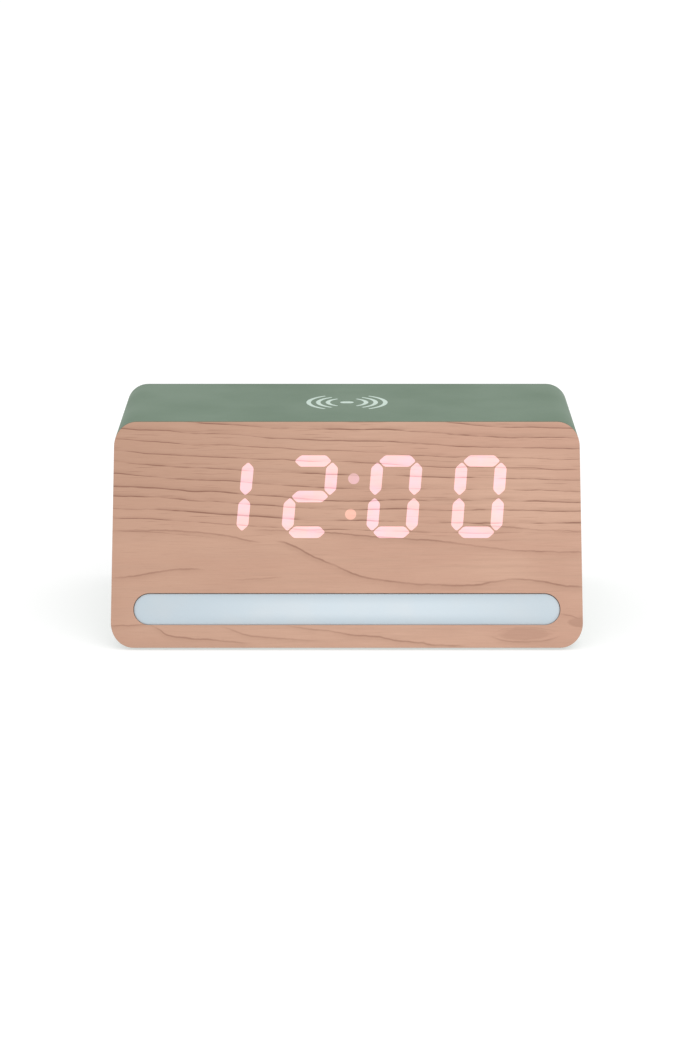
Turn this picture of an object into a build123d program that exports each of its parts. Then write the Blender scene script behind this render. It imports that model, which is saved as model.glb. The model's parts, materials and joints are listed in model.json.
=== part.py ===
from build123d import *
import os
from math import cos, radians, sin, tan

# Bedside alarm clock: a wedge-shaped moulded case with a wood-veneered leaning face, a display that shines
# through the veneer, a light bar in a slot below it, and a wireless charging pad in the flat top.
# Millimetres. X runs across the face, -Y is the front, +Z is up; the origin is on the table under the middle.

# ---- Case ----
case_width = 150.0
case_height = 66.0
base_depth = 100.0
face_lean = 27.5            # degrees that the face leans back from upright
corner_radius = 7.2
wall = 2.5
rim_rounding = 1.2          # round on the rear rim of the case
smallest_radius = 0.6
fit_gap = 0.2               # gap round a fixed piece in its seat
slide_gap = 0.2             # gap round a piece that moves

# ---- Feet ----
foot_stand = 1.0            # how far the feet lift the case
foot_recess = 1.0
foot_radius = 5.5
foot_x = 60.0
foot_y = 38.0

# ---- Front: veneer and the board that backs it ----
veneer = 0.6
board_thickness = 2.4
ledge_width = 2.5
ledge_thickness = 2.0
ledge_start = 24.0          # the ledge stops this far up the face, above the light bar
boss_height = 3.0           # bosses that the case lugs screw into
lug_thickness = 2.5
lug_reach = 9.5             # how far a lug stands in from the side wall
lug_height = 8.0
lug_heights = (46.0, 64.0)  # places up the face

# ---- Light bar ----
slot_width = 135.8
slot_height = 10.4
slot_radius = 5.1
slot_up = 12.5              # centre of the slot up the face
lens_gap = 0.15
lens_flange = 1.2
lens_flange_thickness = 1.2
lens_rounding = 1.0
tray_depth = 3.0
tray_overlap = 0.4          # how far the tray reaches past the slot, above and below
tray_wall = 2.3
tray_end_wall = 2.9
light_board_thickness = 1.0
light_board_inset = 1.3     # the strip is narrower than the tray by this much each side
light_tab = 8.0
light_fixings = (-60.0, -20.0, 20.0, 60.0)
light_boss_radius = 2.5
light_boss_gap = 0.4
light_led_count = 12

# ---- Display ----
display_x = 1.7             # the digits sit a little right of the middle
display_up = 49.45
digit_pitch = 27.1
digit_width = 12.6          # between the middles of the upright segments
digit_half_height = 11.8    # between the middles of the level segments
segment_thickness = 3.8
segment_tip_gap = 0.35
digit_slant = 4.8           # degrees
colon_radius = 1.8
colon_half_pitch = 5.9
window_margin = 1.6         # from the digits to the edge of the window behind them
film_thickness = 0.2
mask_depth = 6.2
mask_flange = 1.5
display_fix_gap = 1.3       # from the mask to the screw bosses beside it
display_fix_up = 15.0
display_edge = 3.0          # from a screw to the edge of its circuit board

# ---- Charging coil under the top ----
pad_forward = 0.8           # middle of the pad ahead of the middle of the flat top
coil_radius = 22.0
coil_hole_radius = 10.0
coil_thickness = 1.4
coil_ceiling_gap = 0.4
ferrite_margin = 2.0        # how far the ferrite reaches past the winding
ferrite_thickness = 1.2
carrier_margin = 2.0
carrier_thickness = 1.6
carrier_edge = 3.5          # from a screw to the edge of the carrier
carrier_ring = 1.2
lead_notch = 5.2

# ---- Printed mark on the top ----
mark_depth = 0.2
mark_stroke = 1.5           # at the middle of an arc
mark_taper = 1.4            # the inner edge's centre is this far behind the outer edge's
mark_first_radius = 7.1     # outer edge of the smallest arc
mark_radius_step = 3.2
mark_first_span = 62.0      # degrees each side of level, less for each arc further out
mark_span_step = 3.0
mark_bar_length = 4.4
mark_bar_width = 3.0

# ---- Charging board on the floor ----
floor_boss = 4.5
charger_width = 50.0
charger_depth = 36.0
charger_y = 10.0
charger_fix_x = 21.5
charger_fix_y = 14.5
vent_count = 9
vent_pitch = 6.0
vent_length = 20.0
vent_width = 1.8

# ---- Rear cover ----
cover_recess = 1.5
cover_thickness = 2.5
pillar = 8.5
pillar_length = 20.0
cover_fix_inset = 4.4       # screws in from the inside of the walls
counterbore_radius = 2.7
counterbore_depth = 1.5

# ---- Main board behind the rear cover ----
circuit_thickness = 1.6
circuit_corner = 1.5
main_width = 92.0
main_height = 38.0
main_z = 31.0
main_gap = 6.5              # from the board to the inside of the cover
main_fix_x = 42.0
main_fix_z = 15.5
boss_radius = 2.75

# ---- Buttons and their switches ----
button_names = ("set", "down", "up", "light")
button_first_x = -34.0
button_pitch = 13.0
button_z = 41.0
button_radius = 3.3
button_proud = 0.7
button_rounding = 0.5
button_flange_radius = 4.4
button_flange_thickness = 0.8
button_flange_gap = 0.1
button_travel = 0.4
stem_radius = 1.5
switch_side = 6.0
switch_height = 3.4
plunger_radius = 1.7
plunger_gap = 0.05
plunger_seat = 0.6          # length of plunger inside the switch
icon_depth = 0.2
icon_gap = 7.2              # icon above its button
icon_stroke = 0.5
icon_size = 3.0

# ---- Power socket ----
usb_x = -8.0
usb_z = 21.0
usb_width = 8.94
usb_height = 3.26
usb_wall = 0.3
usb_sunk = 0.6
usb_tongue_width = 6.7
usb_tongue_thickness = 0.7
usb_base = 2.0
usb_opening_gap = 0.35

# ---- Sounder ----
buzzer_x = -32.0
buzzer_z = 21.0
buzzer_radius = 6.0
buzzer_height = 5.6
sound_hole_radius = 0.7
sound_ring_radius = 3.0

# ---- Backup cell and its twist door ----
cell_x = 28.0
cell_z = 31.0
cell_radius = 10.0
cell_thickness = 3.2
holder_wall = 2.0
holder_floor = 1.4
holder_height = 4.9
contact_thickness = 0.2
clip_thickness = 0.4
clip_width = 5.0
door_thickness = 2.0
door_skirt_wall = 1.3
door_skirt_end = 1.2        # how far the skirt passes the inside of the cover
door_lug_reach = 1.7
door_lug_thickness = 1.0
door_lug_span = 30.0        # degrees
door_lug_play = 2.0         # degrees each side in its notch
door_twist = 50.0
coin_slot_length = 15.0
coin_slot_width = 1.8
coin_slot_depth = 1.0

# ---- Screws: head radius, head height, shank radius, length ----
cover_screw = (2.4, 1.3, 1.2, 9.0)
board_screw = (2.0, 1.2, 0.95, 5.0)
screw_side_gap = 0.05
screw_end_gap = 0.4
screw_slot_width = 0.5
head_rounding = 0.4

# ---- Plugs and cables ----
way_pitch = 1.5
header_side = 1.0
header_wall = 0.7
header_height = 4.0
header_depth = 4.4
header_floor = 0.8
plug_top = 5.2
plug_gap = 0.1
wire_radius = 0.5
ribbon_ways = 5
ribbon_thickness = 0.9
widest_bend = 12.0
light_plug = (-32.0, 13.2)
display_plug_x = -14.0
power_plug = (12.0, 22.0)
coil_plug_x = 19.0
main_light_plug_z = 20.0
main_display_plug_z = 34.0
main_power_plug_z = 22.0

# ---- Worked out ----
lean = radians(face_lean)
far = 2 * (case_width + base_depth)
case_bottom = foot_stand
case_top = foot_stand + case_height
case_middle = foot_stand + case_height / 2
front_y = -base_depth / 2
rear_y = base_depth / 2
side_wall_x = case_width / 2 - wall
floor_z = case_bottom + wall
ceiling_z = case_top - wall
top_front_y = front_y + case_height * tan(lean)
pad_y = (top_front_y + rear_y) / 2 - pad_forward
board_back = veneer + board_thickness
lug_front = board_back + boss_height
cover_outside = rear_y - cover_recess
cover_inside = cover_outside - cover_thickness
main_back = cover_inside - main_gap
main_front = main_back - circuit_thickness
ferrite_radius = coil_radius + ferrite_margin
carrier_side = 2 * (ferrite_radius + carrier_margin)
carrier_fix = carrier_side / 2 - carrier_edge
holder_radius = cell_radius + holder_wall
door_radius = holder_radius
digit_lean = 2 * digit_half_height * tan(radians(digit_slant))
window_width = 3 * digit_pitch + digit_width + segment_thickness + digit_lean + 2 * window_margin
window_height = 2 * digit_half_height + segment_thickness + 2 * window_margin
display_fix_x = window_width / 2 + mask_flange + display_fix_gap + boss_radius
display_board_width = 2 * (display_fix_x + display_edge)
display_board_height = 2 * (display_fix_up + display_edge)
tray_height = slot_height + 2 * tray_overlap
tray_window_width = slot_width - 2 * tray_end_wall
tray_window_height = tray_height - 2 * tray_wall
light_board_height = tray_height - 2 * light_board_inset
light_fixing_up = slot_up + slot_height / 2 + lens_flange + light_boss_gap + light_boss_radius
light_led_pitch = tray_window_width / light_led_count
lens_back = board_back + lens_flange_thickness
tray_back = lens_back + tray_depth
light_board_back = tray_back + light_board_thickness
mask_front = veneer + film_thickness
mask_back = mask_front + mask_depth
display_board_back = mask_back + circuit_thickness
coil_top = ceiling_z - coil_ceiling_gap
ferrite_top = coil_top - coil_thickness
carrier_top = ferrite_top - ferrite_thickness
carrier_bottom = carrier_top - carrier_thickness
charger_bottom = floor_z + floor_boss
charger_top = charger_bottom + circuit_thickness
cover_fix_x = side_wall_x - cover_fix_inset
cover_fix_low = floor_z + cover_fix_inset
cover_fix_high = ceiling_z - cover_fix_inset
door_inner_end = cover_inside - door_skirt_end
button_flange_back = cover_inside - button_flange_gap
button_flange_front = button_flange_back - button_flange_thickness
switch_top = main_back + switch_height
button_spots = [button_first_x + button_pitch * step for step in range(len(button_names))]
foot_spots = [(x, y) for x in (-foot_x, foot_x) for y in (-foot_y, foot_y)]
cover_spots = [(x, z) for x in (-cover_fix_x, cover_fix_x) for z in (cover_fix_low, cover_fix_high)]
main_spots = [(x, main_z + z) for x in (-main_fix_x, main_fix_x) for z in (-main_fix_z, main_fix_z)]
display_spots = [
    (display_x + x, display_up + up)
    for x in (-display_fix_x, display_fix_x)
    for up in (-display_fix_up, display_fix_up)
]
light_spots = [(x, light_fixing_up) for x in light_fixings]
lug_x = case_width / 2 - wall - lug_reach + boss_radius + 0.5
lug_spots = [(x, up) for x in (-lug_x, lug_x) for up in lug_heights]
carrier_spots = [(x, pad_y + y) for x in (-carrier_fix, carrier_fix) for y in (-carrier_fix, carrier_fix)]
charger_spots = [
    (x, charger_y + y)
    for x in (-charger_fix_x, charger_fix_x)
    for y in (-charger_fix_y, charger_fix_y)
]
digit_spots = [display_x + digit_pitch * (index - 1.5) for index in range(4)]

face = Plane(origin=(0, front_y, case_bottom), x_dir=(1, 0, 0), z_dir=(0, -cos(lean), sin(lean)))


# ---- Ways to place an outline or a piece ----
def behind_face(outline, start, end):
    """An outline drawn on the face, made solid from one depth behind the face to another."""
    return extrude(face.offset(-start) * outline, amount=start - end)


def across(outline, start, end):
    """An outline drawn upright in X and Z, made solid from one Y to another."""
    upright = Plane(origin=(0, end, 0), x_dir=(1, 0, 0), z_dir=(0, -1, 0))
    return extrude(upright * outline, amount=end - start)


def level(outline, low, high):
    """An outline drawn flat in X and Y, made solid from one height to another."""
    return extrude(Plane.XY.offset(low) * outline, amount=high - low)


def at(spots, outline):
    """The same outline at each spot."""
    return [Pos(*spot) * outline for spot in spots]


def each(spots, outline, maker, start, end):
    """The solids that maker gives for the same outline at each spot."""
    return [maker(copy, start, end) for copy in at(spots, outline)]


def facing_in(x, up, depth):
    """A plane behind the face whose normal points into the case."""
    origin = face.from_local_coords((x, up, -depth))
    return Plane(origin=origin, x_dir=(1, 0, 0), z_dir=(0, cos(lean), -sin(lean)))


def facing_front(x, y, z):
    return Plane(origin=(x, y, z), x_dir=(1, 0, 0), z_dir=(0, -1, 0))


def facing_back(x, y, z):
    return Plane(origin=(x, y, z), x_dir=(-1, 0, 0), z_dir=(0, 1, 0))


def facing_up(x, y, z):
    return Plane(origin=(x, y, z), x_dir=(1, 0, 0), z_dir=(0, 0, 1))


def facing_down(x, y, z):
    return Plane(origin=(x, y, z), x_dir=(1, 0, 0), z_dir=(0, 0, -1))


def wedge(reach, span):
    """A slice about +X from the origin, under 180 degrees wide, as an outline."""
    half = radians(span / 2)
    return Polygon((0, 0), (reach, -reach * tan(half)), (reach, reach * tan(half)), align=None)


def case_outline(inset):
    radius = max(corner_radius - inset, smallest_radius)
    return Pos(0, case_middle) * RectangleRounded(case_width - 2 * inset, case_height - 2 * inset, radius)


def case_slice(inset, start, end):
    """The case's section, inset all round, between two depths behind the leaning face."""
    return across(case_outline(inset), front_y, rear_y) & behind_face(Rectangle(far, far), start, end)


def join(pieces):
    """Separate solids kept together as one group."""
    solids = []
    for piece in pieces:
        solids.extend(piece.solids())
    return Compound(children=solids)


# ---- Things used more than once ----
def screw(plane, sizes):
    """A pan-head screw whose head sits on the plane and whose shank runs back through it."""
    head_radius, head_height, shank_radius, length = sizes
    head = extrude(Circle(head_radius), amount=head_height)
    head = fillet(head.edges().group_by(Axis.Z)[-1], head_rounding)
    slot = Pos(0, 0, head_height) * Box(1.3 * head_radius, screw_slot_width, head_height)
    head -= slot + Rot(0, 0, 90) * slot
    shank = extrude(Circle(shank_radius), amount=-length)
    shank = chamfer(shank.edges().group_by(Axis.Z)[0], shank_radius / 2)
    return plane * (head + shank)


def pilot(sizes, spots, maker, mouth, into, passed):
    """Blind holes for screws: mouth is where the hole starts and passed is what the screw clamps."""
    depth = sizes[3] - passed + screw_end_gap
    hole = Circle(sizes[2] + screw_side_gap)
    end = mouth + into * depth
    return each(spots, hole, maker, min(mouth, end), max(mouth, end))


def clearance(sizes, spots, maker, start, end):
    return each(spots, Circle(sizes[2] + fit_gap), maker, start, end)


def header(plane, ways):
    """An open box soldered to a board, which a plug is pushed into."""
    width = ways * way_pitch + 2 * header_side
    shell = extrude(Rectangle(width, header_depth), amount=header_height)
    pocket = Rectangle(width - 2 * header_wall, header_depth - 2 * header_wall)
    return plane * (shell - Pos(0, 0, header_floor) * extrude(pocket, amount=header_height))


def plug(plane, ways):
    width = ways * way_pitch + 2 * (header_side - header_wall - plug_gap)
    body = extrude(Rectangle(width, header_depth - 2 * (header_wall + plug_gap)), amount=plug_top - header_floor)
    return plane * Pos(0, 0, header_floor) * body


def bend_radii(points):
    """The widest tangent arc that each corner of a route has room for."""
    route = [Vector(*point) for point in points]
    radii = []
    for before, corner, after in zip(route, route[1:], route[2:]):
        turn = radians((corner - before).get_angle(after - corner))
        shorter = min((corner - before).length, (after - corner).length)
        radii.append(min(0.45 * shorter / tan(turn / 2), widest_bend))
    return radii


def cable(points, section):
    """A section swept along straight runs joined by tangent arcs."""
    path = FilletPolyline(*points, radius=bend_radii(points))
    return sweep((path ^ 0) * section, path=path)


def wire_pair(points, sideways):
    """Two wires beside each other, moved apart along one direction."""
    wires = []
    for side in (-0.5, 0.5):
        shift = Vector(*sideways) * (side * way_pitch)
        moved = [tuple(Vector(*point) + shift) for point in points]
        wires.append(cable(moved, Circle(wire_radius)))
    return join(wires)


def chip(plane, length, width, height):
    """A moulded component body with a rounded top edge."""
    body = extrude(RectangleRounded(length, width, 0.3), amount=height)
    body = chamfer(body.edges().group_by(Axis.Z)[-1], 0.15)
    return plane * body


def can(plane, radius, height):
    body = extrude(Circle(radius), amount=height)
    body = fillet(body.edges().group_by(Axis.Z)[-1], 0.4)
    return plane * body


# ---- The display's segments ----
def slanted(x, up):
    return (x + up * tan(radians(digit_slant)), up)


def segment(from_point, to_point):
    """A pointed bar between two corners of a digit, leaning with the digits."""
    start = Vector(*from_point)
    end = Vector(*to_point)
    along = (end - start).normalized()
    side = Vector(-along.Y, along.X) * (segment_thickness / 2)
    start += along * segment_tip_gap
    end -= along * segment_tip_gap
    shoulder = along * (segment_thickness / 2)
    corners = (start, start + shoulder + side, end - shoulder + side, end, end - shoulder - side,
               start + shoulder - side)
    return make_face(Polyline(*[slanted(corner.X, corner.Y) for corner in corners], close=True).edges())


digit_corner = digit_width / 2
digit_lines = [
    ((-digit_corner, up), (digit_corner, up))
    for up in (-digit_half_height, 0, digit_half_height)
] + [
    ((x, low), (x, low + digit_half_height))
    for x in (-digit_corner, digit_corner)
    for low in (-digit_half_height, 0)
]


def display_cells():
    """Every segment of four digits and the two dots between them, as outlines on the face."""
    cells = []
    for x in digit_spots:
        cells.extend(Pos(x, display_up) * segment(*line) for line in digit_lines)
    for up in (-colon_half_pitch, colon_half_pitch):
        dot = slanted(0, up)
        cells.append(Pos(display_x + dot[0], display_up + dot[1]) * Circle(colon_radius))
    return cells


def led_places():
    """The middle of each segment and dot, and whether it is an upright one."""
    places = []
    for x in digit_spots:
        for start, end in digit_lines:
            middle = slanted((start[0] + end[0]) / 2, (start[1] + end[1]) / 2)
            places.append((x + middle[0], display_up + middle[1], start[0] == end[0]))
    for up in (-colon_half_pitch, colon_half_pitch):
        dot = slanted(0, up)
        places.append((display_x + dot[0], display_up + dot[1], False))
    return places


# ---- Case, veneer, feet and mark ----
def mark_outlines():
    """A bar between two sets of three crescents, as outlines on the top."""
    centre = Pos(0, pad_y)
    outlines = [centre * RectangleRounded(mark_bar_length, mark_bar_width, mark_bar_width * 0.45)]
    for step in range(3):
        radius = mark_first_radius + step * mark_radius_step
        span = mark_first_span - step * mark_span_step
        inner = Pos(-mark_taper, 0) * Circle(radius + mark_taper - mark_stroke)
        crescent = wedge(2 * radius, 2 * span) & (Circle(radius) - inner)
        outlines += [centre * Rot(0, 0, side) * crescent for side in (0, 180)]
    return outlines


def make_case_sleeve():
    shell = across(case_outline(0), front_y, rear_y)
    shell = fillet(shell.edges().group_by(Axis.Y)[-1], rim_rounding)
    shell &= behind_face(Rectangle(far, far), veneer, far)
    shell -= across(case_outline(wall), front_y - wall, rear_y + wall)

    inside = case_slice(wall / 2, veneer, far)
    ledge = case_slice(wall / 2, board_back, board_back + ledge_thickness)
    ledge -= case_slice(wall + ledge_width, board_back - 1, board_back + ledge_thickness + 1)
    ledge -= behind_face(Rectangle(far, 2 * ledge_start), 0, far)
    shell += ledge

    lug_width = lug_reach + wall
    lug_middle = case_width / 2 - lug_width / 2
    for side in (-1, 1):
        for up in lug_heights:
            block = Pos(side * lug_middle, up) * Rectangle(lug_width, lug_height)
            shell += behind_face(block, lug_front, lug_front + lug_thickness) & inside
        for z in (floor_z + pillar / 2, ceiling_z - pillar / 2):
            block = Pos(side * (side_wall_x - pillar / 2 + wall / 2), z) * Rectangle(pillar + wall, pillar + wall)
            shell += across(block, cover_inside - pillar_length, cover_inside) & inside
    shell += each(carrier_spots, Circle(boss_radius), level, carrier_top, ceiling_z + wall / 2)
    shell += each(charger_spots, Circle(boss_radius), level, floor_z - wall / 2, charger_bottom)

    shell -= clearance(board_screw, lug_spots, behind_face, lug_front - 1, lug_front + lug_thickness + 1)
    shell -= pilot(cover_screw, cover_spots, across, cover_inside, -1, cover_thickness - counterbore_depth)
    shell -= pilot(board_screw, carrier_spots, level, carrier_top, 1, carrier_thickness)
    shell -= pilot(board_screw, charger_spots, level, charger_bottom, -1, circuit_thickness)
    shell -= each(foot_spots, Circle(foot_radius + fit_gap), level, 0, case_bottom + foot_recess)
    vent_spots = [(vent_pitch * (step - (vent_count - 1) / 2), charger_y) for step in range(vent_count)]
    shell -= each(vent_spots, SlotOverall(vent_length, vent_width, 90), level, 0, floor_z + 1)
    shell -= [level(outline, case_top - mark_depth, case_top + 1) for outline in mark_outlines()]
    return shell


def light_slot(gap):
    radius = slot_radius - gap
    return Pos(0, slot_up) * RectangleRounded(slot_width - 2 * gap, slot_height - 2 * gap, radius)


def make_front_veneer():
    return case_slice(0, 0, veneer) - behind_face(light_slot(0), -1, veneer + 1)


def make_front_board():
    board = case_slice(wall + fit_gap, veneer, board_back)
    board += each(lug_spots, Circle(boss_radius), behind_face, board_back - 1, lug_front)
    board += each(display_spots, Circle(boss_radius), behind_face, board_back - 1, mask_back)
    board += each(light_spots, Circle(light_boss_radius), behind_face, board_back - 1, tray_back)
    board -= behind_face(light_slot(0), 0, far)
    board -= behind_face(Pos(display_x, display_up) * Rectangle(window_width, window_height), 0, far)
    board -= pilot(board_screw, lug_spots, behind_face, lug_front, -1, lug_thickness)
    board -= pilot(board_screw, display_spots, behind_face, mask_back, -1, circuit_thickness)
    board -= pilot(board_screw, light_spots, behind_face, tray_back, -1, light_board_thickness)
    return board


def make_rubber_feet():
    feet = []
    for spot in foot_spots:
        foot = level(Pos(*spot) * Circle(foot_radius), 0, case_bottom + foot_recess)
        feet.append(fillet(foot.edges().group_by(Axis.Z)[0], foot_stand / 3))
    return join(feet)


def make_charge_mark():
    return join(level(outline, case_top - mark_depth, case_top) for outline in mark_outlines())


# ---- Light bar ----
def make_light_lens():
    bar = behind_face(light_slot(lens_gap), 0, lens_back)
    crown = bar.faces().sort_by(Axis((0, 0, 0), face.z_dir))[-1]
    bar = fillet(crown.edges(), lens_rounding)
    flange = behind_face(light_slot(-lens_flange), board_back, lens_back)
    return bar + (flange & case_slice(wall + fit_gap, board_back, lens_back))


def make_light_tray():
    frame = Pos(0, slot_up) * RectangleRounded(slot_width, tray_height, slot_radius)
    window = Pos(0, slot_up) * RectangleRounded(tray_window_width, tray_window_height, 2.5)
    rear_window = Pos(0, slot_up) * RectangleRounded(tray_window_width, tray_window_height - 2, 1.5)
    flare = loft([face.offset(-lens_back) * window, face.offset(-tray_back) * rear_window])
    tray = behind_face(frame, lens_back, tray_back) & case_slice(wall + fit_gap, lens_back, tray_back)
    return tray - flare


def make_light_board():
    strip = Pos(0, slot_up) * RectangleRounded(slot_width - 2, light_board_height, circuit_corner)
    board = behind_face(strip, tray_back, light_board_back)
    tab_height = light_fixing_up - slot_up + light_tab / 2
    for x, up in light_spots:
        tab = Pos(x, slot_up + tab_height / 2) * Rectangle(light_tab, tab_height)
        board += behind_face(tab, tray_back, light_board_back)
    return board - clearance(board_screw, light_spots, behind_face, tray_back - 1, light_board_back + 1)


def make_light_leds():
    first = -light_led_pitch * (light_led_count - 1) / 2
    leds = []
    for step in range(light_led_count):
        spot = Pos(first + step * light_led_pitch, slot_up)
        leds.append(behind_face(spot * RectangleRounded(3.0, 2.4, 0.3), tray_back - 0.8, tray_back))
    return join(leds)


# ---- Display ----
def make_display_film():
    sheet = Pos(display_x, display_up) * Rectangle(window_width - 2 * fit_gap, window_height - 2 * fit_gap)
    return behind_face(sheet, veneer, mask_front)


def make_segment_mask():
    centre = Pos(display_x, display_up)
    front = centre * Rectangle(window_width - 2 * fit_gap, window_height - 2 * fit_gap)
    flange = centre * Rectangle(window_width + 2 * mask_flange, window_height + 2 * mask_flange)
    mask = behind_face(front, mask_front, mask_back) + behind_face(flange, board_back, mask_back)
    return mask - [behind_face(cell, 0, far) for cell in display_cells()]


def make_display_board():
    outline = RectangleRounded(display_board_width, display_board_height, circuit_corner)
    board = behind_face(Pos(display_x, display_up) * outline, mask_back, display_board_back)
    return board - clearance(board_screw, display_spots, behind_face, mask_back - 1, display_board_back + 1)


def make_display_leds():
    leds = []
    for x, up, upright in led_places():
        outline = Rectangle(1.4, 2.4) if upright else Rectangle(2.4, 1.4)
        leds.append(behind_face(Pos(x, up) * outline, mask_back - 0.8, mask_back))
    return join(leds)


def make_display_driver():
    middle = facing_in(display_x + 18, display_up, display_board_back)
    capacitors = [
        chip(facing_in(display_x + 18 + x, display_up - 9, display_board_back), 2.0, 1.25, 0.9)
        for x in (-6, -2, 2, 6)
    ]
    return join([chip(middle, 12.8, 7.5, 2.0)] + capacitors)


# ---- Charging ----
def make_charging_coil():
    winding = Pos(0, pad_y) * (Circle(coil_radius) - Circle(coil_hole_radius))
    return level(winding, ferrite_top, coil_top)


def make_ferrite_disc():
    return level(Pos(0, pad_y) * Circle(ferrite_radius), carrier_top, ferrite_top)


def make_coil_carrier():
    plate = Pos(0, pad_y) * RectangleRounded(carrier_side, carrier_side, 4)
    inner = ferrite_radius + fit_gap
    ring = Pos(0, pad_y) * (Circle(inner + carrier_ring) - Circle(inner))
    carrier = level(plate, carrier_bottom, carrier_top) + level(ring, carrier_top, ferrite_top)
    notch = Pos(ferrite_radius + lead_notch / 2 - 1, pad_y) * Rectangle(lead_notch, lead_notch)
    carrier -= level(notch, carrier_bottom - 1, ferrite_top + 1) - level(
        Pos(0, pad_y) * Circle(ferrite_radius), carrier_bottom - 1, ferrite_top + 1)
    return carrier - clearance(board_screw, carrier_spots, level, carrier_bottom - 1, carrier_top + 1)


def make_charging_board():
    outline = Pos(0, charger_y) * RectangleRounded(charger_width, charger_depth, circuit_corner)
    board = level(outline, charger_bottom, charger_top)
    return board - clearance(board_screw, charger_spots, level, charger_bottom - 1, charger_top + 1)


def make_charging_parts():
    parts = [chip(facing_up(-12, charger_y + 2, charger_top), 7.0, 7.0, 3.6)]
    parts.append(chip(facing_up(2, charger_y - 3, charger_top), 5.0, 5.0, 0.9))
    for step in range(4):
        parts.append(chip(facing_up(-12 + 4.5 * step, charger_y - 12, charger_top), 3.2, 2.5, 2.2))
    parts.append(can(facing_up(-12, charger_y + 11, charger_top), 3.15, 6.0))
    return join(parts)


# ---- Rear cover ----
def ring_sector(inner, outer, middle, span):
    """Part of a ring about the origin, as an outline."""
    return Rot(0, 0, middle) * ((Circle(outer) - Circle(inner)) & wedge(2 * outer, span))


def icon_outlines(name):
    """A plain sign for a button: ring, minus, plus or sun."""
    bar = Rectangle(icon_size, icon_stroke)
    if name == "set":
        return Circle(icon_size / 2) - Circle(icon_size / 2 - icon_stroke)
    if name == "down":
        return bar
    if name == "up":
        return bar + Rot(0, 0, 90) * bar
    sun = Circle(icon_size / 4)
    for step in range(8):
        sun += Rot(0, 0, 45 * step) * Pos(icon_size * 0.56, 0) * Rectangle(icon_size / 4, icon_stroke)
    return sun


def make_rear_cover():
    cover = across(case_outline(wall + fit_gap), cover_inside, cover_outside)
    cover += each(main_spots, Circle(boss_radius), across, main_back, cover_inside + 1)
    cover -= pilot(board_screw, main_spots, across, main_back, 1, circuit_thickness)
    cover -= clearance(cover_screw, cover_spots, across, cover_inside - 1, cover_outside + 1)
    cover -= each(cover_spots, Circle(counterbore_radius), across, cover_outside - counterbore_depth,
                  cover_outside + 1)
    holes = [(x, button_z) for x in button_spots]
    cover -= each(holes, Circle(button_radius + slide_gap), across, cover_inside - 1, cover_outside + 1)
    for x, name in zip(button_spots, button_names):
        sign = Pos(x, button_z + icon_gap) * icon_outlines(name)
        cover -= across(sign, cover_outside - icon_depth, cover_outside + 1)

    usb_radius = usb_height / 2 + usb_opening_gap - 0.01
    usb_hole = Pos(usb_x, usb_z) * RectangleRounded(
        usb_width + 2 * usb_opening_gap, usb_height + 2 * usb_opening_gap, usb_radius)
    cover -= across(usb_hole, cover_inside - 1, cover_outside + 1)

    ring = [(sound_ring_radius * cos(radians(60 * step)), sound_ring_radius * sin(radians(60 * step)))
            for step in range(6)]
    sound_spots = [(buzzer_x + x, buzzer_z + z) for x, z in ring + [(0, 0)]]
    cover -= each(sound_spots, Circle(sound_hole_radius), across, cover_inside - 1, cover_outside + 1)

    hole_radius = door_radius + slide_gap
    notch_radius = door_radius + door_lug_reach + slide_gap
    centre = Pos(cell_x, cell_z)
    cover -= across(centre * Circle(hole_radius), cover_inside - 1, cover_outside + 1)
    for middle in (-door_twist, 180 - door_twist):
        notch = ring_sector(hole_radius - 1, notch_radius, middle, door_lug_span + 2 * door_lug_play)
        cover -= across(centre * notch, cover_inside - 1, cover_outside + 1)
    return cover


# ---- Main board and what is on it ----
def make_main_board():
    board = across(Pos(0, main_z) * RectangleRounded(main_width, main_height, circuit_corner), main_front, main_back)
    return board - clearance(board_screw, main_spots, across, main_front - 1, main_back + 1)


def make_main_parts():
    parts = [chip(facing_front(30, main_front, 34), 10.0, 10.0, 1.4)]
    parts.append(chip(facing_front(30, main_front, 23), 4.9, 3.9, 1.5))
    parts.append(chip(facing_front(-2, main_front, 22), 6.5, 3.5, 1.6))
    parts.append(chip(facing_front(14, main_front, 34), 3.2, 1.5, 0.8))
    parts.append(can(facing_front(-20, main_front, 20), 3.15, 5.4))
    for step in range(5):
        parts.append(chip(facing_front(4 + 4 * step, main_front, 43), 2.0, 1.25, 0.9))
    return join(parts)


def make_tact_switches():
    switches = []
    for x in button_spots:
        body = across(Pos(x, button_z) * RectangleRounded(switch_side, switch_side, 0.4), main_back, switch_top)
        bore = Pos(x, button_z) * Circle(plunger_radius + plunger_gap)
        bore_depth = plunger_seat + button_travel + screw_end_gap
        switches.append(body - across(bore, switch_top - bore_depth, switch_top + 1))
    return join(switches)


def make_plunger(x):
    return across(Pos(x, button_z) * Circle(plunger_radius), switch_top - plunger_seat, switch_top + 1.0)


def make_button(x):
    centre = Pos(x, button_z)
    cap = across(centre * Circle(button_radius), button_flange_back, cover_outside + button_proud)
    cap = fillet(cap.edges().group_by(Axis.Y)[-1], button_rounding)
    flange = across(centre * Circle(button_flange_radius), button_flange_front, button_flange_back)
    stem = across(centre * Circle(stem_radius), switch_top + 1.0, button_flange_front)
    return cap + flange + stem


def make_usb_shell():
    centre = Pos(usb_x, usb_z)
    mouth = cover_outside - usb_sunk
    radius = usb_height / 2 - 0.01
    outer = across(centre * RectangleRounded(usb_width, usb_height, radius), main_back, mouth)
    inner = RectangleRounded(usb_width - 2 * usb_wall, usb_height - 2 * usb_wall, radius - usb_wall)
    return outer - across(centre * inner, main_back - 1, mouth + 1)


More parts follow.
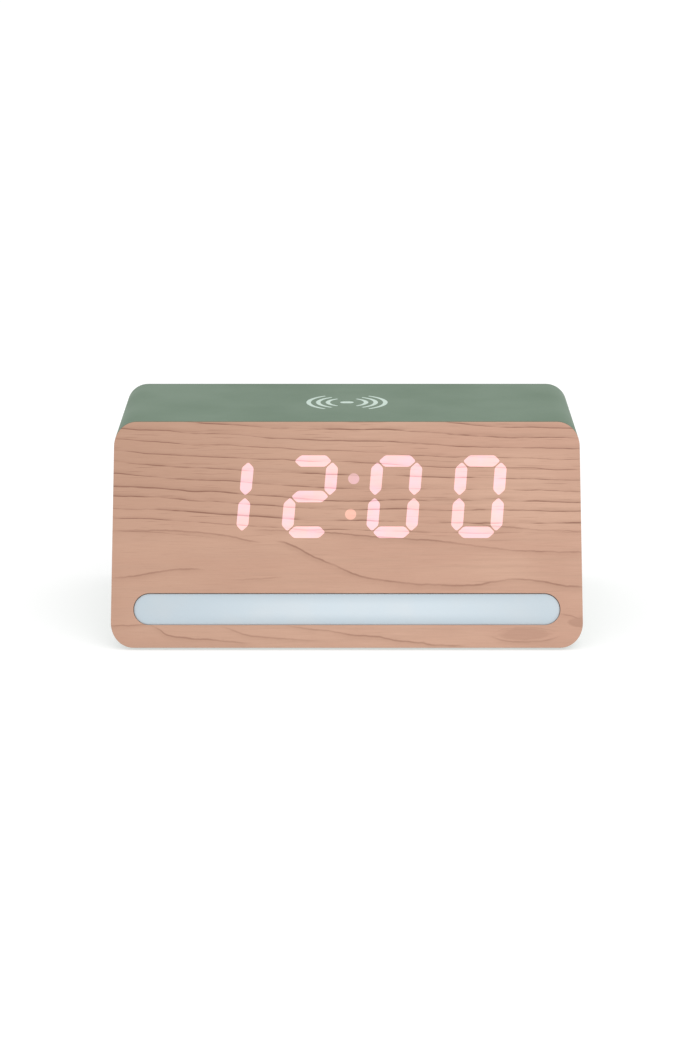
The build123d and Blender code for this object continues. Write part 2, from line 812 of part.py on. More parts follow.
def make_usb_tongue():
    centre = Pos(usb_x, usb_z)
    radius = usb_height / 2 - usb_wall - 0.01
    base = RectangleRounded(usb_width - 2 * usb_wall, usb_height - 2 * usb_wall, radius)
    tongue = Rectangle(usb_tongue_width, usb_tongue_thickness)
    block = across(centre * base, main_back, main_back + usb_base)
    return block + across(centre * tongue, main_back, cover_outside - usb_sunk - 1.0)


def make_buzzer():
    centre = Pos(buzzer_x, buzzer_z)
    top = main_back + buzzer_height
    can_body = across(centre * Circle(buzzer_radius), main_back, top)
    can_body = fillet(can_body.edges().group_by(Axis.Y)[-1], 0.4)
    return can_body - across(centre * Circle(1.2), top - 1.5, top + 1)


# ---- Backup cell ----
holder_top = main_back + holder_height
cell_bottom = main_back + holder_floor + contact_thickness
cell_top = cell_bottom + cell_thickness


def make_battery_holder():
    centre = Pos(cell_x, cell_z)
    holder = across(centre * Circle(holder_radius), main_back, holder_top)
    holder -= across(centre * Circle(cell_radius + fit_gap), main_back + holder_floor, holder_top + 1)
    clip_room = Pos(cell_x + cell_radius + clip_thickness / 2, cell_z) * Rectangle(
        clip_thickness + 2 * fit_gap, clip_width + 2 * fit_gap)
    holder -= across(clip_room, main_back + holder_floor, holder_top + 1)
    finger = Pos(cell_x - holder_radius, cell_z) * Rectangle(6, 7)
    return holder - across(finger, main_back + holder_floor + 1, holder_top + 1)


def make_cell_contact():
    strip = Pos(cell_x, cell_z) * RectangleRounded(12, 4, 0.8)
    return across(strip, main_back + holder_floor, cell_bottom)


def make_cell_clip():
    plate = Pos(cell_x + cell_radius + clip_thickness / 2, cell_z) * Rectangle(clip_thickness, clip_width)
    return across(plate, main_back + holder_floor, cell_top - 0.4)


def make_coin_cell():
    cell = across(Pos(cell_x, cell_z) * Circle(cell_radius), cell_bottom, cell_top)
    return fillet(cell.edges().group_by(Axis.Y)[-1], 0.3)


def make_battery_door():
    centre = Pos(cell_x, cell_z)
    door = across(centre * Circle(door_radius), cover_outside - door_thickness, cover_outside)
    skirt = Circle(door_radius) - Circle(door_radius - door_skirt_wall)
    door += across(centre * skirt, door_inner_end, cover_outside - door_thickness)
    for middle in (0, 180):
        lug = ring_sector(door_radius - 0.5, door_radius + door_lug_reach, middle, door_lug_span)
        door += across(centre * lug, door_inner_end, door_inner_end + door_lug_thickness)
    slot = centre * SlotOverall(coin_slot_length, coin_slot_width)
    return door - across(slot, cover_outside - coin_slot_depth, cover_outside + 1)


# ---- Plugs and cables ----
light_socket = facing_in(light_plug[0], light_plug[1], light_board_back)
display_socket = facing_in(display_plug_x, display_up, display_board_back)
power_socket = facing_up(power_plug[0], power_plug[1], charger_top)
coil_socket = facing_up(coil_plug_x, pad_y, charger_top).rotated((0, 0, 90))
main_light_socket = facing_front(light_plug[0], main_front, main_light_plug_z)
main_display_socket = facing_front(display_plug_x, main_front, main_display_plug_z)
main_power_socket = facing_front(power_plug[0], main_front, main_power_plug_z)
two_way_sockets = (light_socket, main_light_socket, power_socket, main_power_socket, coil_socket)
ribbon_sockets = (display_socket, main_display_socket)


def plug_mouth(socket, beyond=0.0):
    return tuple(socket.from_local_coords((0, 0, plug_top + beyond)))


def make_board_headers():
    pieces = [header(socket, 2) for socket in two_way_sockets]
    return join(pieces + [header(socket, ribbon_ways) for socket in ribbon_sockets])


def make_cable_plugs():
    pieces = [plug(socket, 2) for socket in two_way_sockets]
    return join(pieces + [plug(socket, ribbon_ways) for socket in ribbon_sockets])


def make_light_cable():
    x = light_plug[0]
    run_z = floor_z + 1.6
    start = plug_mouth(light_socket)
    floor_point = (x, start[1] + (start[2] - run_z) / tan(lean), run_z)
    end = plug_mouth(main_light_socket)
    rise = (x, end[1] - 7, end[2])
    points = [start, floor_point, (x, rise[1] - 12, run_z), rise, end]
    return wire_pair(points, (1, 0, 0))


def make_display_cable():
    x = display_plug_x
    start = plug_mouth(display_socket)
    end = plug_mouth(main_display_socket)
    dip = (start[2] + end[2]) / 2 - 12
    points = [start, plug_mouth(display_socket, 11), (x, start[1] + 23, dip), (x, end[1] - 13, dip + 3),
              (x, end[1] - 7, end[2]), end]
    return cable(points, Rectangle(ribbon_thickness, ribbon_ways * way_pitch))


def make_power_cable():
    start = plug_mouth(power_socket)
    end = plug_mouth(main_power_socket)
    return wire_pair([start, (start[0], start[1], end[2]), end], (1, 0, 0))


def make_coil_leads():
    wire_z = coil_top - coil_thickness / 2
    drop_x = ferrite_radius + wire_radius + 0.4
    end = plug_mouth(coil_socket)
    points = [(coil_radius, pad_y, wire_z), (drop_x, pad_y, wire_z), (drop_x, pad_y, carrier_bottom - 8),
              (drop_x + 6, pad_y, carrier_bottom - 24), (end[0], pad_y, end[2] + 9), end]
    return wire_pair(points, (0, 1, 0))


# ---- Screws ----
def make_cover_screws():
    seat = cover_outside - counterbore_depth
    return join(screw(facing_back(x, seat, z), cover_screw) for x, z in cover_spots)


def make_main_board_screws():
    return join(screw(facing_front(x, main_front, z), board_screw) for x, z in main_spots)


def make_front_board_screws():
    return join(screw(facing_in(x, up, lug_front + lug_thickness), board_screw) for x, up in lug_spots)


def make_display_screws():
    return join(screw(facing_in(x, up, display_board_back), board_screw) for x, up in display_spots)


def make_light_screws():
    return join(screw(facing_in(x, up, light_board_back), board_screw) for x, up in light_spots)


def make_coil_screws():
    return join(screw(facing_down(x, y, carrier_bottom), board_screw) for x, y in carrier_spots)


def make_charger_screws():
    return join(screw(facing_up(x, y, charger_top), board_screw) for x, y in charger_spots)


nodes = {
    "case_sleeve": make_case_sleeve(),
    "front_veneer": make_front_veneer(),
    "front_board": make_front_board(),
    "rear_cover": make_rear_cover(),
    "rubber_feet": make_rubber_feet(),
    "charge_mark": make_charge_mark(),
    "light_lens": make_light_lens(),
    "light_tray": make_light_tray(),
    "light_board": make_light_board(),
    "light_leds": make_light_leds(),
    "display_film": make_display_film(),
    "segment_mask": make_segment_mask(),
    "display_board": make_display_board(),
    "display_leds": make_display_leds(),
    "display_driver": make_display_driver(),
    "charging_coil": make_charging_coil(),
    "ferrite_disc": make_ferrite_disc(),
    "coil_carrier": make_coil_carrier(),
    "charging_board": make_charging_board(),
    "charging_parts": make_charging_parts(),
    "main_board": make_main_board(),
    "main_parts": make_main_parts(),
    "tact_switches": make_tact_switches(),
    "usb_shell": make_usb_shell(),
    "usb_tongue": make_usb_tongue(),
    "buzzer": make_buzzer(),
    "battery_holder": make_battery_holder(),
    "cell_contact": make_cell_contact(),
    "cell_clip": make_cell_clip(),
    "coin_cell": make_coin_cell(),
    "battery_door": make_battery_door(),
    "board_headers": make_board_headers(),
    "cable_plugs": make_cable_plugs(),
    "light_cable": make_light_cable(),
    "display_cable": make_display_cable(),
    "power_cable": make_power_cable(),
    "coil_leads": make_coil_leads(),
    "cover_screws": make_cover_screws(),
    "main_board_screws": make_main_board_screws(),
    "front_board_screws": make_front_board_screws(),
    "display_screws": make_display_screws(),
    "light_screws": make_light_screws(),
    "coil_screws": make_coil_screws(),
    "charger_screws": make_charger_screws(),
}
for x, name in zip(button_spots, button_names):
    nodes["button_" + name] = make_button(x)
    nodes["plunger_" + name] = make_plunger(x)

os.makedirs("parts", exist_ok=True)
for name, shape in nodes.items():
    export_step(shape, os.path.join("parts", name + ".step"))
print(len(nodes), "nodes written")
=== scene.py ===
# %% [markdown]
# # A bedside alarm clock
# This script dresses a finished mechanical model of a bedside clock. The clock is a wedge-shaped moulded
# case whose leaning face is covered with thin wood. Digits shine through the wood, a milky bar in a slot
# is a night light, and the flat top charges a phone. Everything is in metres: X runs across the face, -Y
# is the front and +Z is up, with the origin on the table under the middle of the clock.

import json
import math

import bmesh
import bpy
from mathutils import Matrix, Vector


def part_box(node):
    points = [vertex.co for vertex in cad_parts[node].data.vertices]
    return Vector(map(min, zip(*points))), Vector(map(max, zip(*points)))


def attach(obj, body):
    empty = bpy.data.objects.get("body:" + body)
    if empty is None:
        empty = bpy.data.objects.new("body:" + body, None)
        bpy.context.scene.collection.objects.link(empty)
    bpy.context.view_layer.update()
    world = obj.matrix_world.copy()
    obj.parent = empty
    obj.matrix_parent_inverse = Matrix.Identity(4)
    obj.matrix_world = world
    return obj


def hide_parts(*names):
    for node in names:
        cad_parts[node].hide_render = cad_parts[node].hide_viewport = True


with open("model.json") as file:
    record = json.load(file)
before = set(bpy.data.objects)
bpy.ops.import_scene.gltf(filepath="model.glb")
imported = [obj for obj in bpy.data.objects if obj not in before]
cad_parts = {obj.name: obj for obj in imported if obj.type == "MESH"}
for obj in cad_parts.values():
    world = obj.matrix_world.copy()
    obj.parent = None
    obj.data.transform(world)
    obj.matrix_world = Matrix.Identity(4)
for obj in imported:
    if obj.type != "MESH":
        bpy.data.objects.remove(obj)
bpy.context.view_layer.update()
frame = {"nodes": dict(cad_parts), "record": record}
nodes = frame["nodes"]

# %% [markdown]
# ## Measures
# The leaning face is the important plane: the wood, the digits and the light bar are all laid out on it.
# A point on the face is given by x across and `up` along the slope from its bottom edge, and `out` stands
# proud of it. The bottom edge and the lean are enough to turn such a point into the clock's own frame.

# %% Measures taken from the frame
MM = 0.001
FACE_LEAN = math.radians(27.5)
case_low, case_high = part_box("case_sleeve")
veneer_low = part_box("front_veneer")[0]
lens_low, lens_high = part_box("light_lens")
mask_low, mask_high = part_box("segment_mask")

CASE_WIDTH = case_high.x - case_low.x
CASE_HEIGHT = case_high.z - case_low.z
FACE_LENGTH = CASE_HEIGHT / math.cos(FACE_LEAN)
UP = Vector((0, math.sin(FACE_LEAN), math.cos(FACE_LEAN)))
OUT = Vector((0, -math.cos(FACE_LEAN), math.sin(FACE_LEAN)))
FACE_EDGE = Vector((0, veneer_low.y, veneer_low.z))
FACE_TURN = Matrix(((1, 0, 0), (0, UP.y, OUT.y), (0, UP.z, OUT.z))).to_4x4()
FACE_PLACE = Matrix.Translation(FACE_EDGE) @ FACE_TURN


def on_face(x, up, out=0.0):
    """A point of the leaning face, in the clock's frame."""
    return FACE_PLACE @ Vector((x, up, out))


print("face length", round(FACE_LENGTH / MM, 2), "mm; top edge at", on_face(0, FACE_LENGTH))

# %% [markdown]
# ## Small helpers for shader nodes
# A procedural material is a little program. Writing it is easier when a number, or the output of another
# node, can be handed to the same function, so `put` accepts either, and `calc` makes one Math node and
# returns its result, ready for the next step.

# %% Helpers for shader nodes
def put(tree, socket, value):
    """Sets a socket to a plain value, or links it to another node's output."""
    if isinstance(value, bpy.types.NodeSocket):
        tree.links.new(value, socket)
    else:
        socket.default_value = value


def calc(tree, operation, *values, clamp=False):
    """One Math node, and its result."""
    node = tree.nodes.new("ShaderNodeMath")
    node.operation = operation
    node.use_clamp = clamp
    for socket, value in zip(node.inputs, values):
        put(tree, socket, value)
    return node.outputs[0]


def ramp(tree, value, low, high, to_low=0.0, to_high=1.0, smooth=True):
    """Carries a value from one range to another, easing at both ends."""
    node = tree.nodes.new("ShaderNodeMapRange")
    node.interpolation_type = "SMOOTHSTEP" if smooth else "LINEAR"
    for name, number in (("From Min", low), ("From Max", high), ("To Min", to_low), ("To Max", to_high)):
        put(tree, node.inputs[name], number)
    put(tree, node.inputs["Value"], value)
    return node.outputs["Result"]


def point(tree, x, y, z=0.0):
    """Three numbers, each plain or from a node, as one place."""
    node = tree.nodes.new("ShaderNodeCombineXYZ")
    for socket, value in zip(node.inputs, (x, y, z)):
        put(tree, socket, value)
    return node.outputs[0]


def noise(tree, place, scale=1.0, detail=2.0, roughness=0.5):
    """Soft random values around 0.5 at each place."""
    node = tree.nodes.new("ShaderNodeTexNoise")
    put(tree, node.inputs["Vector"], place)
    node.inputs["Scale"].default_value = scale
    node.inputs["Detail"].default_value = detail
    node.inputs["Roughness"].default_value = roughness
    return node.outputs["Fac"]


def blend_colours(tree, share, first, second):
    """The first colour where share is 0 and the second where it is 1."""
    node = tree.nodes.new("ShaderNodeMix")
    node.data_type = "RGBA"
    put(tree, node.inputs["Factor"], share)
    put(tree, node.inputs["A"], first)
    put(tree, node.inputs["B"], second)
    return node.outputs["Result"]


def new_group(name, inputs, outputs):
    """A shader node group with its sockets, ready to be filled."""
    tree = bpy.data.node_groups.new(name, "ShaderNodeTree")
    for label, kind, value in inputs:
        socket = tree.interface.new_socket(label, in_out="INPUT", socket_type=kind)
        if value is not None:
            socket.default_value = value
    for label, kind in outputs:
        tree.interface.new_socket(label, in_out="OUTPUT", socket_type=kind)
    return tree, tree.nodes.new("NodeGroupInput").outputs, tree.nodes.new("NodeGroupOutput").inputs


def srgb(red, green, blue):
    """A screen colour, 0 to 255, as the linear colour that shaders work in."""
    def linear(value):
        value = value / 255
        if value <= 0.04045:
            return value / 12.92
        return ((value + 0.055) / 1.055) ** 2.4
    return (linear(red), linear(green), linear(blue), 1.0)


def new_material(name):
    """A material with one Principled shader, and its tree, shader and object coordinates."""
    material = bpy.data.materials.new(name)
    material.use_nodes = True
    tree = material.node_tree
    shader = tree.nodes["Principled BSDF"]
    place = tree.nodes.new("ShaderNodeTexCoord").outputs["Object"]
    return material, tree, shader, place


def use_group(tree, group, **values):
    """Places a group in a material; an underscore in a name stands for a space."""
    node = tree.nodes.new("ShaderNodeGroup")
    node.node_tree = group
    for label, value in values.items():
        put(tree, node.inputs[label.replace("_", " ")], value)
    return node.outputs


def bump(tree, shader, height, strength, distance):
    """Fine relief: the height bends the surface's normals, and the shape stays as it is."""
    node = tree.nodes.new("ShaderNodeBump")
    node.inputs["Strength"].default_value = strength
    node.inputs["Distance"].default_value = distance
    put(tree, node.inputs["Height"], height)
    tree.links.new(node.outputs["Normal"], shader.inputs["Normal"])


print("node helpers ready")

# %% [markdown]
# ## Moulded plastic, as a node group
# The case, the cover and the small mouldings are all injection moulded, and every mould leaves the same
# kind of skin: a fine spark-eroded grain, a faint cloudiness where the plastic flowed, and a gloss that
# is not quite even. One group makes all three from noise at three sizes, and each material sets its own
# colours and grain.

# %% Node group: moulded skin
CLOUD_SCALE = 28.0
SPECKLE_SCALE = 900.0
SKIN_RELIEF = 0.35

moulded, mould_in, mould_out = new_group(
    "moulded_skin",
    [("Place", "NodeSocketVector", None), ("Base", "NodeSocketColor", (0.5, 0.5, 0.5, 1)),
     ("Cloud", "NodeSocketColor", (0.4, 0.4, 0.4, 1)), ("Grain", "NodeSocketFloat", 1500.0),
     ("Gloss low", "NodeSocketFloat", 0.45), ("Gloss high", "NodeSocketFloat", 0.6)],
    [("Color", "NodeSocketColor"), ("Roughness", "NodeSocketFloat"), ("Height", "NodeSocketFloat")])
cloudiness = noise(moulded, mould_in["Place"], CLOUD_SCALE, 3.0)
speckle = noise(moulded, mould_in["Place"], SPECKLE_SCALE, 1.0)
grain_noise = moulded.nodes.new("ShaderNodeTexNoise")
moulded.links.new(mould_in["Place"], grain_noise.inputs["Vector"])
moulded.links.new(mould_in["Grain"], grain_noise.inputs["Scale"])
grain_noise.inputs["Detail"].default_value = 2.0
cloud_share = ramp(moulded, cloudiness, 0.35, 0.7, 0.0, 0.75)
speckle_share = ramp(moulded, speckle, 0.35, 0.65, 0.0, 0.25)
cloud_and_speckle = calc(moulded, "ADD", cloud_share, speckle_share, clamp=True)
put(moulded, mould_out["Color"],
    blend_colours(moulded, cloud_and_speckle, mould_in["Base"], mould_in["Cloud"]))
put(moulded, mould_out["Roughness"],
    ramp(moulded, cloudiness, 0.3, 0.7, mould_in["Gloss low"], mould_in["Gloss high"]))
put(moulded, mould_out["Height"], grain_noise.outputs["Fac"])
print("group moulded_skin ready")


def moulded_material(name, base, cloud, grain=1500.0, gloss=(0.45, 0.6), shine=0.5):
    """A moulded plastic or rubber of two close colours."""
    material, tree, shader, place = new_material(name)
    shader.inputs["Specular IOR Level"].default_value = shine
    out = use_group(tree, moulded, Place=place, Base=base, Cloud=cloud, Grain=grain,
                    Gloss_low=gloss[0], Gloss_high=gloss[1])
    put(tree, shader.inputs["Base Color"], out["Color"])
    put(tree, shader.inputs["Roughness"], out["Roughness"])
    bump(tree, shader, out["Height"], SKIN_RELIEF, 0.03 * MM)
    return material


# %% [markdown]
# ## Sliced wood, as a node group
# The face is a crown-cut veneer. Cut that way, the growth rings run as nearly level lines near the edge
# of the log and open into long sweeping arches towards its heart, with fine fibres and short dark pores
# along them. A stock wood texture only gives even stripes, so the grain is built in layers on the face's
# own x and `up`, in millimetres: a ring pattern for the straight part, a few long drawn lines for the
# arches, and noise stretched along the grain for fibres and pores. The lit wood uses the same group, so
# the grain runs unbroken through the digits.

# %% Helper: one long grain line
LINE_BACK = 0.8
LINE_FRONT = 0.4
LINE_FADE = 3.2
END_FADE = 5.0
END_OVERRUN = 1.0


def grain_line(tree, x, up, points, width, strength):
    """A dark line along given points (x, up) in millimetres, fading at both ends."""
    half_width = CASE_WIDTH / MM / 2
    tallest = FACE_LENGTH / MM
    curve = tree.nodes.new("ShaderNodeFloatCurve")
    line = curve.mapping.curves[0]
    line.points[0].location = (0.0, points[0][1] / tallest)
    line.points[1].location = (1.0, points[-1][1] / tallest)
    for line_x, line_up in points:
        line.points.new((line_x + half_width) / (2 * half_width), line_up / tallest)
    curve.mapping.update()
    put(tree, curve.inputs["Value"], ramp(tree, x, -half_width, half_width, smooth=False))
    height = calc(tree, "MULTIPLY", curve.outputs[0], tallest)
    away = calc(tree, "SUBTRACT", up, height)
    front_edge = ramp(tree, away, 0.0, width * LINE_FRONT, 1.0, 0.0)
    core = calc(tree, "MULTIPLY", front_edge, ramp(tree, away, -width * LINE_BACK, -width * 0.1))
    fade = calc(tree, "MULTIPLY", front_edge, ramp(tree, away, -width * LINE_FADE, 0.0, 0.0, 0.3))
    start = ramp(tree, x, points[0][0] - END_OVERRUN, points[0][0] + END_FADE)
    end = ramp(tree, x, points[-1][0] - END_FADE, points[-1][0] + END_OVERRUN, 1.0, 0.0)
    ends = calc(tree, "MULTIPLY", calc(tree, "MULTIPLY", start, end), strength)
    return calc(tree, "MULTIPLY", calc(tree, "MAXIMUM", core, fade), ends)


print("grain line helper ready")

# %% Node group: wood grain
RING_PITCH = 3.7
RING_SLOPE = 0.012
RING_BEND = -0.00022
BEND_FROM = 60.0

wood, wood_in, wood_out = new_group(
    "sliced_wood",
    [("Place", "NodeSocketVector", None)],
    [("Color", "NodeSocketColor"), ("Roughness", "NodeSocketFloat"), ("Height", "NodeSocketFloat"),
     ("Dark", "NodeSocketFloat")])
split = wood.nodes.new("ShaderNodeSeparateXYZ")
wood.links.new(wood_in["Place"], split.inputs[0])
x, up = split.outputs["X"], split.outputs["Y"]


def stretched(along, across, seed, detail=2.0, roughness=0.5):
    """Noise drawn out along the grain: a small number along means long streaks."""
    place = point(wood, calc(wood, "MULTIPLY", x, along), calc(wood, "MULTIPLY", up, across), seed)
    return noise(wood, place, 1.0, detail, roughness)


def centred(value, size):
    """Noise moved to lie around zero, with the given spread."""
    return calc(wood, "MULTIPLY", calc(wood, "SUBTRACT", value, 0.5), size)


long_wander = centred(stretched(0.018, 0.035, 3.1), 5.0)
short_wander = centred(stretched(0.09, 0.10, 7.7), 1.0)
wander = calc(wood, "ADD", long_wander, short_wander)
bend_x = calc(wood, "MINIMUM", calc(wood, "SUBTRACT", x, BEND_FROM), 0.0)
bend = calc(wood, "MULTIPLY", calc(wood, "MULTIPLY", bend_x, bend_x), RING_BEND)
sloped_up = calc(wood, "ADD", up, calc(wood, "MULTIPLY", x, RING_SLOPE))
level_up = calc(wood, "ADD", sloped_up, bend)
ring_up = calc(wood, "ADD", level_up, wander)
ring_place = point(wood, 0.0, calc(wood, "MULTIPLY", ring_up, 0.30), 5.0)
uneven = calc(wood, "ADD", ring_up, centred(noise(wood, ring_place, 1.0, 1.0), 3.6))
ring = calc(wood, "FRACT", calc(wood, "DIVIDE", uneven, RING_PITCH))
ring_start = ramp(wood, ring, 0.0, 0.02)
late_edge = calc(wood, "MULTIPLY", ramp(wood, ring, 0.03, 0.15, 1.0, 0.0), ring_start)
early_fade = calc(wood, "MULTIPLY", ramp(wood, ring, 0.0, 0.5, 0.34, 0.0), ring_start)
ring_break = ramp(wood, stretched(0.055, 0.45, 11.0, 3.0, 0.65), 0.36, 0.62, 0.12, 1.0)
straight_part = ramp(wood, up, 34.0, 40.0)
whole_rings = calc(wood, "ADD", late_edge, early_fade)
rings = calc(wood, "MULTIPLY", calc(wood, "MULTIPLY", whole_rings, ring_break), straight_part)
print("ring layer ready")

# %% [markdown]
# The arches come next. Each is one long line with its own few points, slightly wavy and fading at its
# ends, as a ring does where the knife leaves it. A row below gives its points (x, up) in millimetres, its
# width and how dark it is. Two low, flattened eyes near the right-hand end of the bottom strip are where
# a ring was sliced almost flat.

# %% Wood arches, eyes, fibres and pores
wavy_up = calc(wood, "ADD", up, centred(stretched(0.16, 0.12, 21.0, 3.0, 0.6), 1.3))
arches = [
    ([(-76, 38.2), (-60, 38.3), (-46, 37.4), (-36, 36.0), (-27, 34.2)], 0.8, 0.6),
    ([(-23, 34.8), (-18, 33.6), (-12, 30.4), (-3, 26.4), (4, 23.4), (11, 22.0), (22, 20.8), (32, 20.4),
      (40, 20.3), (46, 21.2), (54, 22.2), (62, 21.6), (69, 20.2), (77, 19.8)], 0.9, 0.8),
    ([(-30, 38.4), (-8, 37.8), (14, 35.9), (26, 35.0), (40, 33.4), (50, 32.1), (60, 31.4),
      (77, 31.3)], 0.8, 0.75),
    ([(40, 40.4), (52, 39.4), (64, 38.3), (77, 37.9)], 0.7, 0.6),
    ([(-77, 22.6), (-70, 22.9), (-62, 24.4), (-54, 25.5), (-45, 25.6)], 0.8, 0.65),
    ([(-38, 22.0), (-31, 22.2), (-20, 23.0)], 0.6, 0.35),
    ([(-78, 7.0), (-70, 7.2), (-60, 7.6)], 0.6, 0.6),
    ([(-64, 7.5), (-60, 6.0), (-57, 4.1), (-51, 3.0), (-43, 2.5), (-30, 1.4)], 0.8, 0.7),
    ([(-41, 7.2), (-36, 5.6), (-32, 4.2), (-22, 3.0), (-8, 2.2)], 0.8, 0.5),
    ([(-20, 7.0), (-9, 5.7), (1, 4.3), (9, 3.7), (14, 2.7), (24, 1.3), (38, 0.4)], 0.8, 0.65),
    ([(66, 11.2), (71, 10.3), (77, 8.9)], 0.7, 0.6),
    ([(45, 3.6), (50, 2.4), (57, 1.9), (64, 2.6), (68, 3.8)], 0.8, 0.5),
    ([(46, 5.0), (51, 6.3), (58, 6.6), (67, 5.6)], 0.5, 0.3),
]
lines = 0.0
for points, width, strength in arches:
    lines = calc(wood, "MAXIMUM", lines, grain_line(wood, x, wavy_up, points, width, strength))
line_break = ramp(wood, stretched(0.05, 0.2, 71.0, 3.0, 0.6), 0.32, 0.6, 0.45, 1.0)
lines = calc(wood, "MULTIPLY", lines, line_break)


def eye_patch(middle_x, middle_up, half_length, half_height, strength):
    """A flattened dark patch with a ragged edge."""
    across = calc(wood, "DIVIDE", calc(wood, "SUBTRACT", x, middle_x), half_length)
    along = calc(wood, "DIVIDE", calc(wood, "SUBTRACT", wavy_up, middle_up), half_height)
    far = calc(wood, "ADD", calc(wood, "MULTIPLY", across, across), calc(wood, "MULTIPLY", along, along))
    ragged = calc(wood, "ADD", far, centred(stretched(0.12, 0.5, 47.0, 3.0, 0.6), 1.4))
    return ramp(wood, ragged, 0.45, 1.0, strength, 0.0)


large_eye = eye_patch(56.5, 4.4, 9.5, 2.3, 0.26)
small_eye = eye_patch(74.5, 8.2, 4.5, 2.0, 0.34)
eyes = calc(wood, "MAXIMUM", large_eye, small_eye)
dash_places = ramp(wood, stretched(0.055, 1.5, 83.0, 2.0, 0.55), 0.60, 0.72)
dashes = calc(wood, "MULTIPLY", dash_places, ramp(wood, up, 30.0, 42.0, 0.12, 0.45))

fibres = stretched(0.10, 5.0, 31.0, 3.0, 0.7)
fine_fibres = stretched(0.35, 14.0, 37.0, 2.0)
pores = ramp(wood, stretched(0.22, 4.2, 43.0, 2.0, 0.7), 0.64, 0.74)
streaks = stretched(0.02, 0.55, 53.0, 3.0, 0.6)
patches = stretched(0.022, 0.05, 61.0, 2.0)
rings_and_lines = calc(wood, "MAXIMUM", rings, lines)
dark = calc(wood, "MAXIMUM", rings_and_lines, calc(wood, "MAXIMUM", eyes, dashes))
print("arches, fibres and pores ready")

# %% [markdown]
# Colour is laid on in layers: a warm base that shifts between two tones in broad patches and deepens
# towards the top left, a little streaking and fibre, and the dark of the rings last. The height rises
# with the fibres and drops at the open pores and the dark lines, which catch the light as very shallow
# grooves.

# %% Wood colour, gloss and height
WOOD_LIGHT = srgb(203, 162, 139)
WOOD_WARM = srgb(195, 152, 130)
WOOD_GREY = srgb(188, 149, 127)
WOOD_DEEP = srgb(184, 144, 121)
WOOD_DARK = srgb(140, 98, 78)
tone = blend_colours(wood, ramp(wood, patches, 0.35, 0.65), WOOD_LIGHT, WOOD_WARM)
deep_across = ramp(wood, x, -72.0, 45.0, 1.0, 0.0)
deep_up = ramp(wood, up, 36.0, 64.0, 0.5, 1.0)
deep_side = calc(wood, "MULTIPLY", deep_across, deep_up)
tone = blend_colours(wood, deep_side, tone, WOOD_DEEP)
tone = blend_colours(wood, ramp(wood, streaks, 0.42, 0.7, 0.0, 0.55), tone, WOOD_GREY)
tone = blend_colours(wood, ramp(wood, fibres, 0.3, 0.75, 0.0, 0.14), tone, WOOD_DARK)
tone = blend_colours(wood, ramp(wood, fine_fibres, 0.3, 0.7, 0.0, 0.10), tone, WOOD_LIGHT)
tone = blend_colours(wood, calc(wood, "MULTIPLY", pores, 0.22), tone, WOOD_DARK)
tone = blend_colours(wood, calc(wood, "MULTIPLY", dark, 0.95), tone, WOOD_DARK)
put(wood, wood_out["Color"], tone)
put(wood, wood_out["Roughness"], ramp(wood, fibres, 0.3, 0.7, 0.48, 0.62))
relief = calc(wood, "ADD", calc(wood, "MULTIPLY", fibres, 0.5), calc(wood, "MULTIPLY", pores, -0.6))
put(wood, wood_out["Height"], calc(wood, "SUBTRACT", relief, calc(wood, "MULTIPLY", dark, 0.4)))
put(wood, wood_out["Dark"], dark)
print("group sliced_wood ready")

# %% [markdown]
# ## The wood, plain and lit
# Both materials read the same face coordinates. A Mapping node turns the object coordinates so that X
# runs across and Y up the slope, in millimetres from the middle of the bottom edge. Where a lamp is
# behind the veneer, its light comes through tinted and a little uneven, and dark grain holds some of it
# back, so the lit material adds an emission colour to the same wood.

# %% Materials: wood and lit wood
HELD_BACK = 0.28
HELD_COLOUR = (0.16, 0.05, 0.06, 1)


def face_millimetres(tree, place):
    """Object coordinates turned onto the face: X across and Y up the slope, in millimetres."""
    node = tree.nodes.new("ShaderNodeMapping")
    node.inputs["Scale"].default_value = (1 / MM, 1 / MM, 1 / MM)
    node.inputs["Rotation"].default_value = (FACE_LEAN - math.pi / 2, 0, 0)
    node.inputs["Location"].default_value = (0, -FACE_EDGE.dot(UP) / MM, -FACE_EDGE.dot(OUT) / MM)
    tree.links.new(place, node.inputs["Vector"])
    return node.outputs[0]


def wood_material(name, glow=None, dim_glow=None):
    """The veneer, or with two glow colours the veneer where a lamp is behind it."""
    material, tree, shader, place = new_material(name)
    where = face_millimetres(tree, place)
    out = use_group(tree, wood, Place=where)
    put(tree, shader.inputs["Base Color"], out["Color"])
    put(tree, shader.inputs["Roughness"], out["Roughness"])
    bump(tree, shader, out["Height"], 0.25, 0.06 * MM)
    if glow is not None:
        mottle = ramp(tree, noise(tree, where, 0.16, 2.0), 0.35, 0.65, 0.0, 0.6)
        light = blend_colours(tree, mottle, glow, dim_glow)
        held = calc(tree, "MULTIPLY", out["Dark"], HELD_BACK)
        put(tree, shader.inputs["Emission Color"], blend_colours(tree, held, light, HELD_COLOUR))
        shader.inputs["Emission Strength"].default_value = 1.0
    return material


veneer_wood = wood_material("veneer_wood")
lit_wood = wood_material("lit_wood", (0.62, 0.36, 0.50, 1), (0.66, 0.36, 0.38, 1))
dot_high_wood = wood_material("dot_high_wood", (0.28, 0.17, 0.28, 1), (0.27, 0.19, 0.22, 1))
dot_low_wood = wood_material("dot_low_wood", (0.40, 0.20, 0.16, 1), (0.42, 0.18, 0.20, 1))
print("wood materials ready")

# %% [markdown]
# ## Other finishes
# The case is sage-green matt plastic, and the cover on the back is moulded in nearly the same green with
# a slightly more uneven gloss. The buttons and the printed signs are a pale green. Inside are black and
# white mouldings, nylon, rubber and wire insulation. All of them share the moulded skin, and each sets
# its own two colours, grain and gloss, so that the clock also holds up when it is taken apart.

